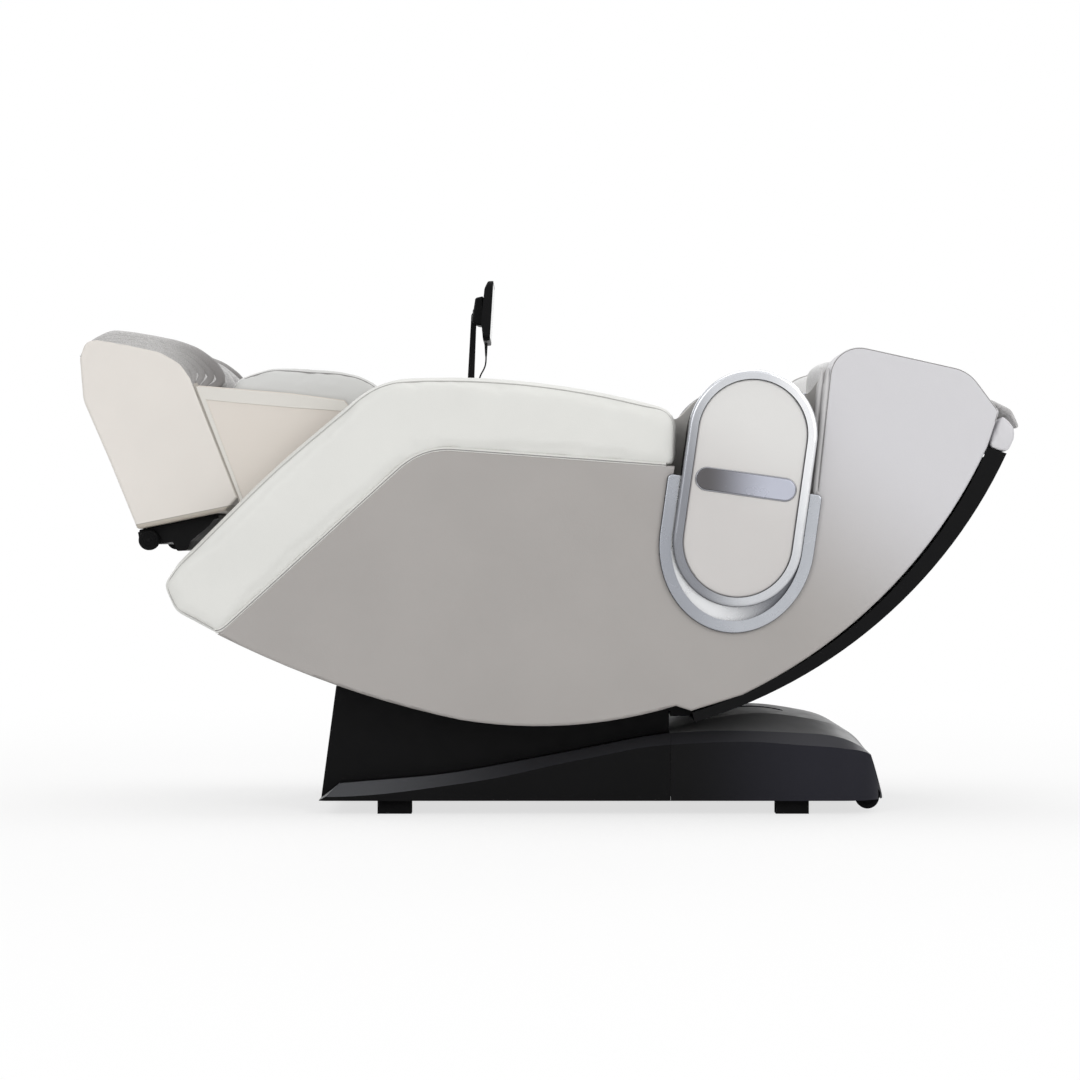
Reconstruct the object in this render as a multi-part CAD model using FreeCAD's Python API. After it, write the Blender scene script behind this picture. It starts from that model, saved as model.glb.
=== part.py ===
import FreeCAD, Part

import os
from math import cos, hypot, pi, radians, sin, tan

V = FreeCAD.Vector
os.makedirs("parts", exist_ok=True)

# Massage chair in its reclined rest pose, in millimetres.
# +X points to the head end, -X to the feet, +Z up; the chair's left side is at -Y.
# The origin lies on the floor under the middle of the chair.
# Outlines are lists of (x, z) corners. A third number rounds a corner to that radius,
# and the word "via" makes the edge between its two neighbours an arc through that point.

# Half widths, from the middle plane
SHELL_OUT = 400.0
SHELL_IN = 280.0
LINER_IN = 270.0
PAD_OUT = 402.0
SEAT_CUSHION_HALF = 263.0
BACK_CUSHION_HALF = 266.0
SEAT_PLATE_OUT = 269.6
HINGE_PLATE_OUT = 250.0
LEG_ARM_OUT = 248.0
CALF_HALF = 262.0
CALF_CUSHION_HALF = 250.0
PEDESTAL_HALF = 258.0
BAND_TOP_HALF = 300.0
SKIRT_HALF = 330.0
BACK_COVER_HALF = 396.0
RING_FACE = 430.0

# Walls and clearances. OVER is how far a cut runs past a face and a welded piece into its neighbour.
WALL = 4.0
PLATE = 6.0
SOFT_GAP = 0.4
SEAM_GAP = 0.6
RUN_GAP = 0.06
SEAT_GAP = 0.02
COVER_GAP = 0.4
LAY_GAP = 0.4
MIN_CORNER_R = 2.0
OVER = 1.0

# Side shell: one piece from the arm's tip to the wing beside the head
SHELL_LINE = [(-664, 367), (-254, 741, 140), (250.9, 704), (537, 655.6), (569, 955, 60), (840, 895, 75),
              (901, 813, 10), (877, 742), (662, 438, "via"), (387, 246), (285, 214), (254, 224),
              (40, 185.3, "via"), (-178, 196), (-430, 266.7, "via")]
SHELL_EDGE_R = 6.0

# Arm pad: its lower border is cut by the shell's upper edge
PAD_LINE = [(-664, 367), (-750, 413, 16), (-774, 467, 20), (-745, 509, 60), (-552, 701, 1800),
            (-341, 878, 180), (-50, 890, 1600), (257.5, 816, 42), (253, 690), (-230, 600)]
PAD_EDGE_R = 14.0

# Inner liner of the arm and wing
LINER_LINE = [(-636, 388, 20), (-736, 470, 20), (-712, 516, 30), (-376, 826, 90), (180, 812, 20),
              (262, 800, 30), (330, 872, 60), (450, 884, 60), (520, 840, 30), (586, 932, 40),
              (832, 876, 60), (884, 806, 10), (858, 740, 20), (650, 455, "via"), (380, 268),
              (180, 214, 60), (-180, 214, 80)]
LINER_EDGE_R = 3.0
SIDE_PAD_THICK = 38.0
SHOULDER_PAD_LINE = [(330, 545, 40), (520, 664, 40), (520, 800, 40), (440, 850, 40), (330, 800, 40)]
HEAD_PAD_LINE = [(690, 748, 40), (838, 836, 20), (800, 872, 40), (575, 925, 40), (527, 905, 30),
                 (527, 800, 60)]
SIDE_PAD_DRAW = 10.0
SIDE_PAD_EDGE = 1.0
SPEAKER = (581.0, 850.0)
SPEAKER_R = 34.0
SPEAKER_DEPTH = 9.0
SPEAKER_EDGE_R = 3.0

# Shoulder capsule: a stadium whose long axis leans towards the head
CAPSULE_X = 391.0
CAPSULE_Z = 659.0
CAPSULE_TILT = 8.0
CAPSULE_HALF_RUN = 109.0
RING_R = 129.0
RING_BAND = 19.0
RING_DEPTH = 25.6
RING_EDGE_R = 7.0
FACE_RECESS = 5.0
FACE_EDGE_R = 4.0
UNIT_R = 126.0
BADGE_LENGTH = 198.0
BADGE_WIDTH = 42.0
BADGE_THICK = 4.0
BADGE_RISE = 8.0
BADGE_EDGE_R = 1.5
TRIM_OUT = 155.4
TRIM_BAND = 24.0
TRIM_DROP_OUT = 181.4
TRIM_TOP = 8.0
NECK_LINE = [(-145, -109), (145, -109), (145, 17.5), (-145, 25.5)]
TRIM_FACE = 409.0
TRIM_DEPTH = 30.0
TRIM_EDGE_R = 3.0
TRIM_TIP_R = 9.0
DISH_THICK = 6.0
NOTCH_GAP = 0.6

# Rear cover of the back and the roll along its top
BACK_ARC = (10.9, 1148.7, 997.9)
SHELL_ARC = (4.5, 1120.2, 952.2)
BACK_COVER_ENDS = (292.0, 916.5)
BACK_COVER_TOP_IN = 878.5
BACK_COVER_DRAW = 6.0
LIP_LINE = [(880.5, 742, 3), (917, 729.8, 10), (932, 762, 12), (930, 782, 9), (906.5, 808, 4)]
LIP_HALF = 398.0
LIP_EDGE_R = 3.0
FLAP_LINE = [(905, 846, 12), (950, 822, 20), (966, 786, 2), (959, 783, 2), (943, 815, 16), (903, 838, 12),
             (866, 833, 2), (826, 808, 2), (822, 815.6, 2), (862, 840.5, 2)]
FLAP_HALF = 240.0

# Seat and back surfaces
KNEE = (-385.4, 717.8)
SEAT_SLOPE = 36.6
SEAT_LENGTH = 612.0
HIP = (112.2, 362.4)
BACK_SLOPE = 31.94
BACK_LENGTH = 890.0
CUSHION_THICK = 85.0
CUSHION_CROWN = 8.0
CUSHION_SIDE_DRAW = 10.0
CUSHION_LIFT = 0.4
SEAT_CORNERS = (16.0, 12.0, 22.0, 38.0)
BACK_CORNERS = (14.0, 12.0, 16.0, 10.0, 22.0)
BACK_TOP_CUT = (40.0, 34.0)
BACK_TAPER = 8.0
PAN_THICK = 8.0
PAN_RUNS = (14.0, 500.0)
PAN_SLOT = (185.0, 24.0)
PLATE_RISE = 40.0
PILLOW_RUNS = (600.0, 822.0)
PILLOW_HALF = 170.0
PILLOW_THICK = 70.0
PILLOW_DRAW = 12.0
PILLOW_SLANT = 50.0
PILLOW_CORNERS = (14.0, 34.0)

# Recline pivot and the frames that meet there
PIVOT = (-18.0, 300.0)
SHAFT_R = 16.0
SHAFT_BORE = 11.0
LOBE_R = 28.0
COLLAR_R = 22.0
LEVER_ARM = 60.0
LEVER_BACK_ANGLE = 12.0
LEVER_PIN_R = 8.0
LEVER_PIN_CLEARANCE = 1.8
LEVER_EAR = 8.0
SEAT_PLATE_SHORT = 40.0
SEAT_PLATE_TAIL = [(60, 262, 10), (206, 268, 10), (208, 226, 10), (60, 226, 30), (-10, 272, 10),
                   (-120, 300, 20), (-400, 480, 30), (-460, 600, 30), (-474, 690, 10)]
SEAT_PLATE_CORNER = 20.0
BACK_PLATE_LINE = [(70, 232, 8), (74, 268, 10), (149, 281, 8), (884, 738, 8), (872, 700, 12),
                   (820, 625, 20), (200, 214, 20), (90, 214, 8)]
FLANGE_RUNS = (60.0, 800.0)
LEVER_STEP = 2.0
CROSS_TUBE_R = 14.0
CROSS_TUBE_WALL = 2.0
CROSS_TUBES = [(-380, 515), (150, 247)]
TIE_R = 12.0
FLANGE_IN = 210.0
BOLTS = [(98, 250), (188, 245)]
BOLT_R = 5.0
BOLT_HEAD_R = 8.0
BOLT_HEAD = 3.0

# Recline actuator, on the base under the back
RECLINE_ANCHOR = (360.0, 84.0)
ACTUATOR_R = 22.0
ACTUATOR_END = 230.0
ACTUATOR_EYE_STEP = 4.0
ACTUATOR_TUBE_START = 8.0
GEARBOX_GAP = 6.0
GEARBOX_STEP = 1.0
RECLINE_ROD_START = 80.0
GEARBOX_LENGTH = 50.0
MOTOR_LENGTH = 90.0
MOTOR_R = 21.0
MOTOR_OFFSET = 48.0
BORE_START = 20.0
ACTUATOR_ROD_R = 9.0
ACTUATOR_EYE_HALF = 22.0
ANCHOR_EAR = 8.0
ANCHOR_EAR_R = 16.0
ACTUATOR_PIN_R = 8.0
ROD_EYE_R = 18.0
ROD_EYE_HALF = 10.0
ROD_EYE_WALL = 3.0
PIN_END = 2.0
CLEVIS_GAP = 2.0

# Leg rest: pivot at the knee, leg direction down to the left
LEG_PIVOT = (-448.0, 699.0)
LEG_SLOPE = 20.1
LEG_PIN_R = 10.0
LEG_LOBE_R = 22.0
LEG_LEVER = 50.0
LEG_LEVER_ANGLE = 0.72
LEG_ACTUATOR_ANCHOR = (-110.0, 335.0)
LEG_ACTUATOR_R = 20.0
LEG_ACTUATOR_END = 350.0
LEG_ROD_START = 90.0
LEG_ROD_R = 9.0
LEG_ROD_PIN_R = 7.0
LEG_SLOT_IN = 4.4
LEG_SLOT_OUT = 6.4
LEG_SLOT_SIDE = 1.4
LEG_SHAFT_R = 12.0
LEG_ARM_LINE = [(-14, 17), (24, 38), (190, 38), (190, 30), (60, 24), (16, -14)]
LEG_PLATE_S = (4.0, 60.0, 190.0)
LUG_LINE = [(14, 35), (96, 35), (76, -9, 8), (34, -11, 8)]
RAIL_OUT_R = 12.0
RAIL_ROD_R = 9.0
RAIL_Y = 120.0
RAIL_T = 23.0
RAIL_TUBE_RUN = (4.0, 188.0)
RAIL_ROD_START = 8.0
RAIL_PLATE_LINE = [(208, 12), (212, 12), (212, 50), (208, 50)]
LEG_PLATE_T = (34.0, 38.0)
LUG_OPENING_LINE = [(30, -10), (120, -10), (120, 10), (30, 10)]
LUG_OPENING_HALF = 30.0
CALF_EDGE_R = 12.0
CALF_FLOOR = 62.0
CALF_WELL = (24.0, 184.0)
CALF_WELL_R = 55.0
CALF_WELL_REACH = 260.0
CALF_WELL_DEPTH = 338.0
FOOT_WELL = (28.0, 168.0)

# Leg rest outlines, as (s, t): s along the leg from the knee pivot, t square to it
CALF_PANEL_LINE = [(193, -4), (199, 258, 6), (132, 227, 60), (22, 176, 200), (-78, 124, 6), (-88, 88, 10),
                   (-42, 46, 10), (0, 42, 20), (34, 24, 14), (46, -4, 4)]
CALF_ROOM_LINE = [(-120, 0), (240, 0), (240, 300), (-120, 300)]
CALF_CUSHION_LINE = [(190, 38.4, 6), (190, 160, 30), (134, 228, 10), (112, 242, 20), (43, 239.5, 60),
                     (-14, 218.5, 80), (-89, 184, 80), (-124, 162, 20), (-154, 130, 16), (-148, 104, 16),
                     (-100, 76, 30), (-66, 38.4, 14)]
FOOT_LINE = [(196, 12), (203, 276, 30), (213, 311, 30), (243, 347, 60), (296, 381, 60),
             (358.5, 416.8, 20), (381, 417.5, 20), (402, 392, 24), (425, 308, 60), (417, 171, 90),
             (411.6, 21.9, 6), (230, -5.3)]
FOOT_LINER_LINE = [(216, 7, 4), (232, -0.4, 4), (407, 25.8, 6), (412.4, 171, 90), (420.2, 306, 50),
                   (397, 389.5, 24), (378, 412.6, 16), (357, 418, 10), (318, 421, 20), (277, 399, 60),
                   (240, 376, 60), (197, 347, 60), (166, 318, 30), (143, 280, 30), (136.5, 241, 5),
                   (202, 234, 8), (207, 66, 4), (216, 58, 3)]
FOOT_WELL_LINE = [(100, 54), (362, 54, 60), (370, 300, 100), (340, 450), (100, 450)]
FOOT_HALF = 262.0
FOOT_EDGE_R = 6.0
FOOT_OPEN_LINE = [(150, 12), (205, 12), (215, 20), (395, 20), (403, 300), (384, 380), (384, 500),
                  (150, 500)]
FOOT_LINER_HALF = 257.4
FOOT_BASE_HALF = 222.0
FOOT_BASE_LINE = [(-846, 572), (-685, 604), (-700, 585, 10), (-737, 554, 4), (-745, 535, 5),
                  (-765, 533, 5), (-774, 552, 4), (-804, 547, 5), (-842, 548, 8)]
FOOT_NECK_LINE = [(-818, 560), (-712, 580), (-712, 620), (-818, 620)]
FOOT_NECK_HALF = 200.0
FOOT_WHEEL = (-821.0, 556.0)
FOOT_WHEEL_R = 21.0
FOOT_WHEEL_WIDTH = 22.0
FOOT_WHEEL_GAP = 2.0
WHEEL_EDGE_R = 3.0
AXLE_END = 2.0
FOOT_AXLE_R = 4.0

# Massage mechanism in the back: rails on an arc, with a carriage that climbs them
RAIL_ARC_R = 1294.0
RAIL_MIDDLE = (471.19, 405.76)
CARRIAGE_AT = 29.5
RAIL_ARC = (RAIL_MIDDLE[0] - RAIL_ARC_R * sin(radians(CARRIAGE_AT)),
            RAIL_MIDDLE[1] + RAIL_ARC_R * cos(radians(CARRIAGE_AT)))
RAIL_HALF_DEPTH = 10.0
RAIL_IN_Y = 150.0
RAIL_WIDTH = 12.0
RAIL_ENDS = (15.5, 46.5)
GROOVE_INSET = 1.0
TIE_INSET = 0.5
GROOVE_HALF = 5.2
GROOVE_DEPTH = 6.0
CARRIAGE_HALF_ANGLE = 1.7
CARRIAGE_HALF_Y = 146.0
CARRIAGE_LAP = 2.0
PEG_ROOT = 4.0
PEG_INSET = 0.4
PEG_R = 5.0
ROLLER_LINE_R = RAIL_ARC_R - 32.0
ROLLER_R = 24.0
ROLLER_WIDTH = 28.0
ROLLER_AXLE_R = 5.0
ROLLER_SPREAD = 2.5
ARM_Y = 61.0
ARM_THICK = 8.0
KNEAD_PIN_R = 5.0
KNEAD_R = RAIL_ARC_R - 22.0
CHEEK = 8.0
LUG_WIDTH = 8.0
LUG_HALF_ANGLE = 0.7
LUG_TOP = 12.0
LUG_GAP = 2.0
KNEAD_PIN_END = 0.6
KNEAD_HUB_R = 14.0
KNEAD_END_R = 11.0
KNEAD_BAR_HALF = 9.0
ROLLER_AXLE_END = 3.0
ROLLER_GAP = 1.0
MOTOR_BLOCK = (1.2, 40.0, 70.0)
ROLLER_EDGE_R = 8.0
BACK_GROOVE_R = RAIL_ARC_R - 68.0
BACK_GROOVE_ENDS = (14.8, 46.9)
BACK_GROOVE_HALF = 142.0

# Base: pedestal, skirt with its chamfered band, rear crown
FLOOR_GAP = 28.0
PEDESTAL_LINE = [(-466, 28), (-435, 260, 6), (-150, 262, 20), (150, 228, 40), (246, 204), (246, 28)]
BAND_LOW = [(-453, 36), (-301, 46), (-220, 57), (-99, 76), (22, 103), (103, 119), (184, 135), (246, 141.5)]
BAND_TOP = [(-425, 62), (-303, 72), (-221, 80), (-99, 100), (23, 123), (104, 139), (185, 155), (246, 164)]
REAR_LOW = [(246, 141.5), (346, 147), (427, 147), (508, 141), (589, 135), (650, 121)]
REAR_TOP = [(246, 164), (348, 169), (429, 168), (511, 164), (582, 157), (655, 120)]
REAR_CROWN = [(246, 165), (320, 183), (440, 198), (537, 187), (601, 170), (656, 119)]
CROWN_HALF = 190.0
BASE_FRONT_X = -467.0
BASE_SEAM_X = 246.0
BASE_REAR = 684.0
PLAN_CORNER_REAR = 90.0
PLAN_CORNER_FRONT = 14.0
RECESS = (300.0, 500.0, 88.0, 2.0)
TALL_SPAN = (-100.0, 400.0)
BELOW_CROWN = 100.0
PEDESTAL_OPENING = (-140.0, 240.0)
OPENING_LOW = 158.0
SEAM_REACH = 10.0
FOOT_BLOCKS = [(-348.0, -279.0), (461.0, 528.0)]
FOOT_BLOCK_Y = (268.0, 308.0)
FOOT_BLOCK_TOP = 30.0
RUNNER_Y = (215.0, 245.0)
RUNNER_X = (-400.0, 662.0)
RUNNER_TOP = 66.0
DECK_BOTTOM = 46.0
DECK_THICK = 3.0
DECK_END = 640.0
CROSS_BAR_OUT = 306.0
CROSS_BAR_EXTRA = 6.0
HINGE_PLATE_FOOT = (-110.0, 90.0)
HINGE_PLATE = 10.0
UNIT_EDGE_R = 8.0
WHEEL = (650.0, 32.0)
WHEEL_R = 24.0
WHEEL_Y = (258.0, 282.0)
WHEEL_AXLE_R = 6.0
WHEEL_AXLE_ROOT = 5.0
WHEEL_POCKET_GAP = 4.0
SUPPLY_X = (-392.0, -222.0)
SUPPLY_HALF = 140.0
SUPPLY_TOP = 150.0
PUMP_X = (-190.0, -70.0)
PUMP_HALF = 150.0
PUMP_TOP = 150.0

# Power inlet and switch in the rear cover
INLET_LINE = [(648, 44.4), (678, 44.4), (667.5, 77.6), (648, 77.6)]
INLET_HALF = 46.0
INLET_Z = (44.0, 78.0)
SOCKET_Y = (-34.0, -8.0)
SOCKET_Z = (51.0, 71.0)
SOCKET_FLOOR = 654.0
ROCKER = (663.0, 61.0)
ROCKER_R = 11.0
ROCKER_Y = (13.0, 31.0)
ROCKER_FACE = (673.6, 671.0)

# Tablet on its post, on the right arm
POST_X = -175.0
POST_Y = 330.0
PAD_TOP_AT_POST = 885.0
SOCKET_R = 26.0
SOCKET_RISE = 6.6
STEM_R = 11.0
STEM_LENGTH = 60.0
SPIGOT_R = 7.0
SPIGOT_LENGTH = 40.0
POST_FOOT_R = 24.0
POST_FOOT_TOP = 900.0
POST_HALF_Y = 11.0
POST_LINE = [(-181, 896), (-166, 896), (-161, 1040, 20), (-151, 1068, 5), (-160, 1079, 5), (-172, 1060, 12)]
TILT = (-160.0, 1068.0)
TILT_PIN_R = 3.0
TILT_BARREL_R = 9.0
TILT_BARREL_HALF = 7.0
FORK_GAP = 0.4
FORK_DEPTH = 14.0
TABLET_LINE = [(-121, 1130, 2), (-129, 998, 2), (-144, 996, 4), (-148, 1038, 30), (-141, 1112, 20),
               (-133, 1129, 5)]
TABLET_HALF = 97.0
TABLET_CORNER_R = 14.0
TABLET_LOW_Z = 996.0
TABLET_TOP_Z = 1130.0
NECK_END_X = -144.0
NECK_HALF = 6.0
SCREEN_THICK = 1.6
SCREEN_MARGIN = 7.0
SCREEN_GAP = 0.1
RELIEF_TOP_R = 4.0
RELIEF_END_R = 2.2
RELIEF_LENGTH = 31.0
CABLE_D = 3.4
CABLE_ARC_SHARE = 0.45
CABLE_POINTS = [(-139, 968), (-139, 954), (-143, 940), (-151, 927), (-155, 914), (-155, 900)]


def outline(points):
    """Closed wire in the XZ plane, with rounded corners and arcs through "via" points."""
    kept = [p for p in points if len(p) < 3 or p[2] != "via"]
    vias = {}
    for i, p in enumerate(points):
        if len(p) == 3 and p[2] == "via":
            vias[points[i - 1][:2]] = V(p[0], 0, p[1])
    corners = []
    for i, p in enumerate(kept):
        here = V(p[0], 0, p[1])
        if len(p) < 3:
            corners.append((here, None, here))
            continue
        back = V(kept[i - 1][0], 0, kept[i - 1][1]) - here
        ahead = V(kept[(i + 1) % len(kept)][0], 0, kept[(i + 1) % len(kept)][1]) - here
        back.normalize()
        ahead.normalize()
        half = back.getAngle(ahead) / 2
        reach = p[2] / tan(half)
        middle = back + ahead
        middle.normalize()
        corners.append((here + back * reach, here + middle * (p[2] / sin(half) - p[2]), here + ahead * reach))
    edges = []
    for i, (start, middle, end) in enumerate(corners):
        if middle:
            edges.append(Part.Arc(start, middle, end).toShape())
        following = corners[(i + 1) % len(corners)][0]
        if kept[i][:2] in vias:
            edges.append(Part.Arc(end, vias[kept[i][:2]], following).toShape())
        elif (following - end).Length > 1e-6:
            edges.append(Part.LineSegment(end, following).toShape())
    return Part.Wire(edges)


def prism(points, y0, y1):
    """Solid between two planes square to Y, from an outline."""
    return face_prism(Part.Face(outline(points)), y0, y1)


def face_prism(face, y0, y1):
    moved = face.copy()
    moved.translate(V(0, y0, 0))
    return moved.extrude(V(0, y1 - y0, 0))


def rod(x, z, r, y0, y1):
    """Round bar along Y."""
    return Part.makeCylinder(r, y1 - y0, V(x, y0, z), V(0, 1, 0))


def bar(start, end, r, y=0.0):
    """Round bar between two points of a plane square to Y."""
    run = V(end[0] - start[0], 0, end[1] - start[1])
    return Part.makeCylinder(r, run.Length, V(start[0], y, start[1]), run)


def block(x0, x1, y0, y1, z0, z1):
    return Part.makeBox(x1 - x0, y1 - y0, z1 - z0, V(x0, y0, z0))


def mirrored(shape):
    return shape.mirror(V(0, 0, 0), V(0, 1, 0))


def both(shape):
    """The shape and its mirror image on the other side."""
    return Part.makeCompound([shape, mirrored(shape)])


def joined(shapes):
    """Several touching or crossing solids as one."""
    return shapes[0].multiFuse(shapes[1:]).removeSplitter()


def rounded_rim(shape, y, r):
    """Rounds all edges that lie in the plane at the given y."""
    rim = [e for e in shape.Edges if abs(e.BoundBox.YMin - y) < 0.01 and abs(e.BoundBox.YMax - y) < 0.01]
    return shape.makeFillet(r, rim)


def along(start, end, distance):
    """Point at a distance from start towards end."""
    share = distance / hypot(end[0] - start[0], end[1] - start[1])
    return (start[0] + (end[0] - start[0]) * share, start[1] + (end[1] - start[1]) * share)


def leg(s, t):
    """Leg-rest coordinates to the XZ plane."""
    c = cos(radians(LEG_SLOPE))
    n = sin(radians(LEG_SLOPE))
    return (LEG_PIVOT[0] - c * s - n * t, LEG_PIVOT[1] - n * s + c * t)


def leg_line(points):
    return [leg(p[0], p[1]) + tuple(p[2:]) for p in points]


def leg_solid(shape):
    """Turns a solid built with X along the leg and Z square to it into place."""
    shape.rotate(V(0, 0, 0), V(0, 0, 1), 180)
    shape.rotate(V(0, 0, 0), V(0, 1, 0), -LEG_SLOPE)
    shape.translate(V(LEG_PIVOT[0], 0, LEG_PIVOT[1]))
    return shape


def tilted(shape):
    """Capsule coordinates, with the long axis upright, to their place on the chair's side."""
    shape.rotate(V(0, 0, 0), V(0, 1, 0), CAPSULE_TILT)
    shape.translate(V(CAPSULE_X, 0, CAPSULE_Z))
    return shape


def stadium(r, half_run):
    """Upright stadium outline about the origin."""
    return [(r, -half_run), (r, half_run), (0, half_run + r, "via"), (-r, half_run), (-r, -half_run),
            (0, -half_run - r, "via")]


def arc_point(angle, r):
    """Point on a circle about the rails' centre, the angle counted from straight below it."""
    return (RAIL_ARC[0] + r * sin(radians(angle)), RAIL_ARC[1] - r * cos(radians(angle)))


def arc_band(angle0, angle1, r0, r1):
    """Outline of a ring segment about the rails' centre."""
    middle = (angle0 + angle1) / 2
    return [arc_point(angle0, r0), arc_point(middle, r0) + ("via",), arc_point(angle1, r0),
            arc_point(angle1, r1), arc_point(middle, r1) + ("via",), arc_point(angle0, r1)]


def circle_z(circle, x):
    """Height of a circle's lower side at x."""
    return circle[1] - (circle[2] ** 2 - (x - circle[0]) ** 2) ** 0.5


def save(node, shape):
    shape.exportStep("parts/" + node + ".step")
    print(node, len(shape.Solids), "solids", round(shape.Volume / 1000, 1), "cm3", shape.isValid())


def save_pair(node, shape):
    """The shape built at +Y is the right one."""
    save(node + "_right", shape)
    save(node + "_left", mirrored(shape))


# Side structure

def u_face(half, drop, top, tip=0.0):
    """U-shaped region of the capsule's trim: straight sides down to a half ellipse, with rounded tips."""
    centre = V(0, 0, -CAPSULE_HALF_RUN)
    ellipse = Part.Ellipse(centre - V(0, 0, drop), centre + V(half, 0, 0), centre)
    bottom = Part.ArcOfEllipse(ellipse, -pi / 2, pi / 2).toShape()
    ends = sorted((v.Point for v in bottom.Vertexes), key=lambda p: p.x)
    right, right_in = V(half, 0, top - tip), V(half - tip, 0, top)
    left, left_in = V(-half, 0, top - tip), V(tip - half, 0, top)
    sides = [Part.makeLine(ends[1], right), Part.makeLine(right_in, left_in), Part.makeLine(left, ends[0])]
    if tip:
        bulge = tip * (1 - cos(pi / 4))
        sides += [Part.Arc(right, V(half - bulge, 0, top - bulge), right_in).toShape(),
                  Part.Arc(left_in, V(bulge - half, 0, top - bulge), left).toShape()]
    return Part.Face(Part.Wire(Part.sortEdges([bottom] + sides)[0]))


def notch_faces(grow=0.0):
    """Room that the capsule and its trim take in a side, grown by a wall where a wall goes round it."""
    gap = NOTCH_GAP + grow
    room = u_face(TRIM_OUT + gap, TRIM_DROP_OUT + gap, TRIM_TOP + gap, TRIM_TIP_R + gap)
    neck = Part.Face(outline(NECK_LINE))
    if grow:
        neck = neck.makeOffset2D(grow, 2)
    return [tilted(room), tilted(neck)]


def side_shell():
    """Moulded side: a tray whose open side faces inwards, notched for the capsule's trim."""
    body = rounded_rim(prism(SHELL_LINE, SHELL_IN, SHELL_OUT), SHELL_OUT, SHELL_EDGE_R)
    body = body.cut([face_prism(f, SHELL_IN - OVER, SHELL_OUT + OVER) for f in notch_faces()])
    inside = Part.Face(outline(SHELL_LINE)).makeOffset2D(-WALL).cut(notch_faces(WALL)).Faces[0]
    return body.cut(face_prism(inside, SHELL_IN - OVER, SHELL_OUT - WALL))


def arm_pad():
    """Padded top and front of the arm, seated along the shell's upper edge."""
    body = rounded_rim(prism(PAD_LINE, SHELL_IN + SOFT_GAP, PAD_OUT), PAD_OUT, PAD_EDGE_R)
    shell = Part.Face(outline(SHELL_LINE)).makeOffset2D(SEAM_GAP)
    return body.cut(face_prism(shell, SHELL_IN - OVER, PAD_OUT + OVER))


def arm_liner():
    """Board that closes the shell's tray towards the seat."""
    return rounded_rim(prism(LINER_LINE, LINER_IN, SHELL_IN - COVER_GAP), LINER_IN, LINER_EDGE_R)


def shoulder_unit():
    """Housing of the shoulder airbags behind the capsule's ring: a tray that the face closes."""
    back = SHELL_IN
    front = RING_FACE - RING_DEPTH - COVER_GAP
    body = prism(stadium(UNIT_R, CAPSULE_HALF_RUN), back, front)
    hollow = prism(stadium(UNIT_R - WALL, CAPSULE_HALF_RUN), back + WALL, front + OVER)
    return tilted(body.cut(hollow))


def capsule_ring():
    back = RING_FACE - RING_DEPTH
    body = rounded_rim(prism(stadium(RING_R, CAPSULE_HALF_RUN), back, RING_FACE), RING_FACE, RING_EDGE_R)
    return tilted(body.cut(prism(stadium(RING_R - RING_BAND, CAPSULE_HALF_RUN), 0, 2 * RING_FACE)))


def capsule_face():
    face_y = RING_FACE - FACE_RECESS
    r = RING_R - RING_BAND - COVER_GAP
    body = prism(stadium(r, CAPSULE_HALF_RUN), RING_FACE - RING_DEPTH, face_y)
    return tilted(rounded_rim(body, face_y, FACE_EDGE_R))


def badge_plate():
    """Bare plate across the capsule's face."""
    low = RING_FACE - FACE_RECESS
    top = low + BADGE_THICK
    r = BADGE_WIDTH / 2
    body = rounded_rim(prism(stadium(r, BADGE_LENGTH / 2 - r), low, top), top, BADGE_EDGE_R)
    body.rotate(V(0, 0, 0), V(0, 1, 0), 90)
    body.translate(V(0, 0, BADGE_RISE))
    return tilted(body)


def side_trim():
    """U-shaped bright trim under the capsule, with a dished ledge inside it."""
    ledge = TRIM_FACE - TRIM_DEPTH
    outer = u_face(TRIM_OUT, TRIM_DROP_OUT, TRIM_TOP, TRIM_TIP_R)
    inner = u_face(TRIM_OUT - TRIM_BAND, TRIM_DROP_OUT - TRIM_BAND, TRIM_TOP + OVER)
    body = rounded_rim(face_prism(outer, ledge, TRIM_FACE), TRIM_FACE, TRIM_EDGE_R)
    body = body.cut(face_prism(inner, ledge + DISH_THICK, TRIM_FACE + OVER))
    unit = prism(stadium(UNIT_R + COVER_GAP, CAPSULE_HALF_RUN), 0, 2 * TRIM_FACE)
    return tilted(body.cut(unit))


def on_arc(arc, x):
    return (x, circle_z(arc, x))


def back_cover():
    """Rear cover under the shells: a bent tray from the hip to the top of the back."""
    low_x, high_x = BACK_COVER_ENDS
    far_x = low_x - BACK_COVER_DRAW
    middle = (low_x + high_x) / 2
    line = [on_arc(BACK_ARC, low_x), on_arc(BACK_ARC, middle) + ("via",), on_arc(BACK_ARC, high_x),
            on_arc(SHELL_ARC, BACK_COVER_TOP_IN), on_arc(SHELL_ARC, middle) + ("via",),
            on_arc(SHELL_ARC, far_x)]
    face = Part.Face(outline(line)).makeOffset2D(-COVER_GAP)
    body = face_prism(face, -BACK_COVER_HALF, BACK_COVER_HALF)
    inside = BACK_COVER_HALF - WALL
    centre = V(BACK_ARC[0], -inside, BACK_ARC[1])
    room = Part.makeCylinder(BACK_ARC[2] - WALL, 2 * inside, centre, V(0, 1, 0))
    shells = face_prism(Part.Face(outline(SHELL_LINE)).makeOffset2D(COVER_GAP), -SHELL_OUT, SHELL_OUT)
    return body.cut([room, shells])


def back_lip():
    body = rounded_rim(prism(LIP_LINE, -LIP_HALF, LIP_HALF), LIP_HALF, LIP_EDGE_R)
    return rounded_rim(body, -LIP_HALF, LIP_EDGE_R)


def head_flap():
    """Flap of the head pillow, hung over the top of the back."""
    return prism(FLAP_LINE, -FLAP_HALF, FLAP_HALF)


# Cushions, their corners listed anticlockwise

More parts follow.
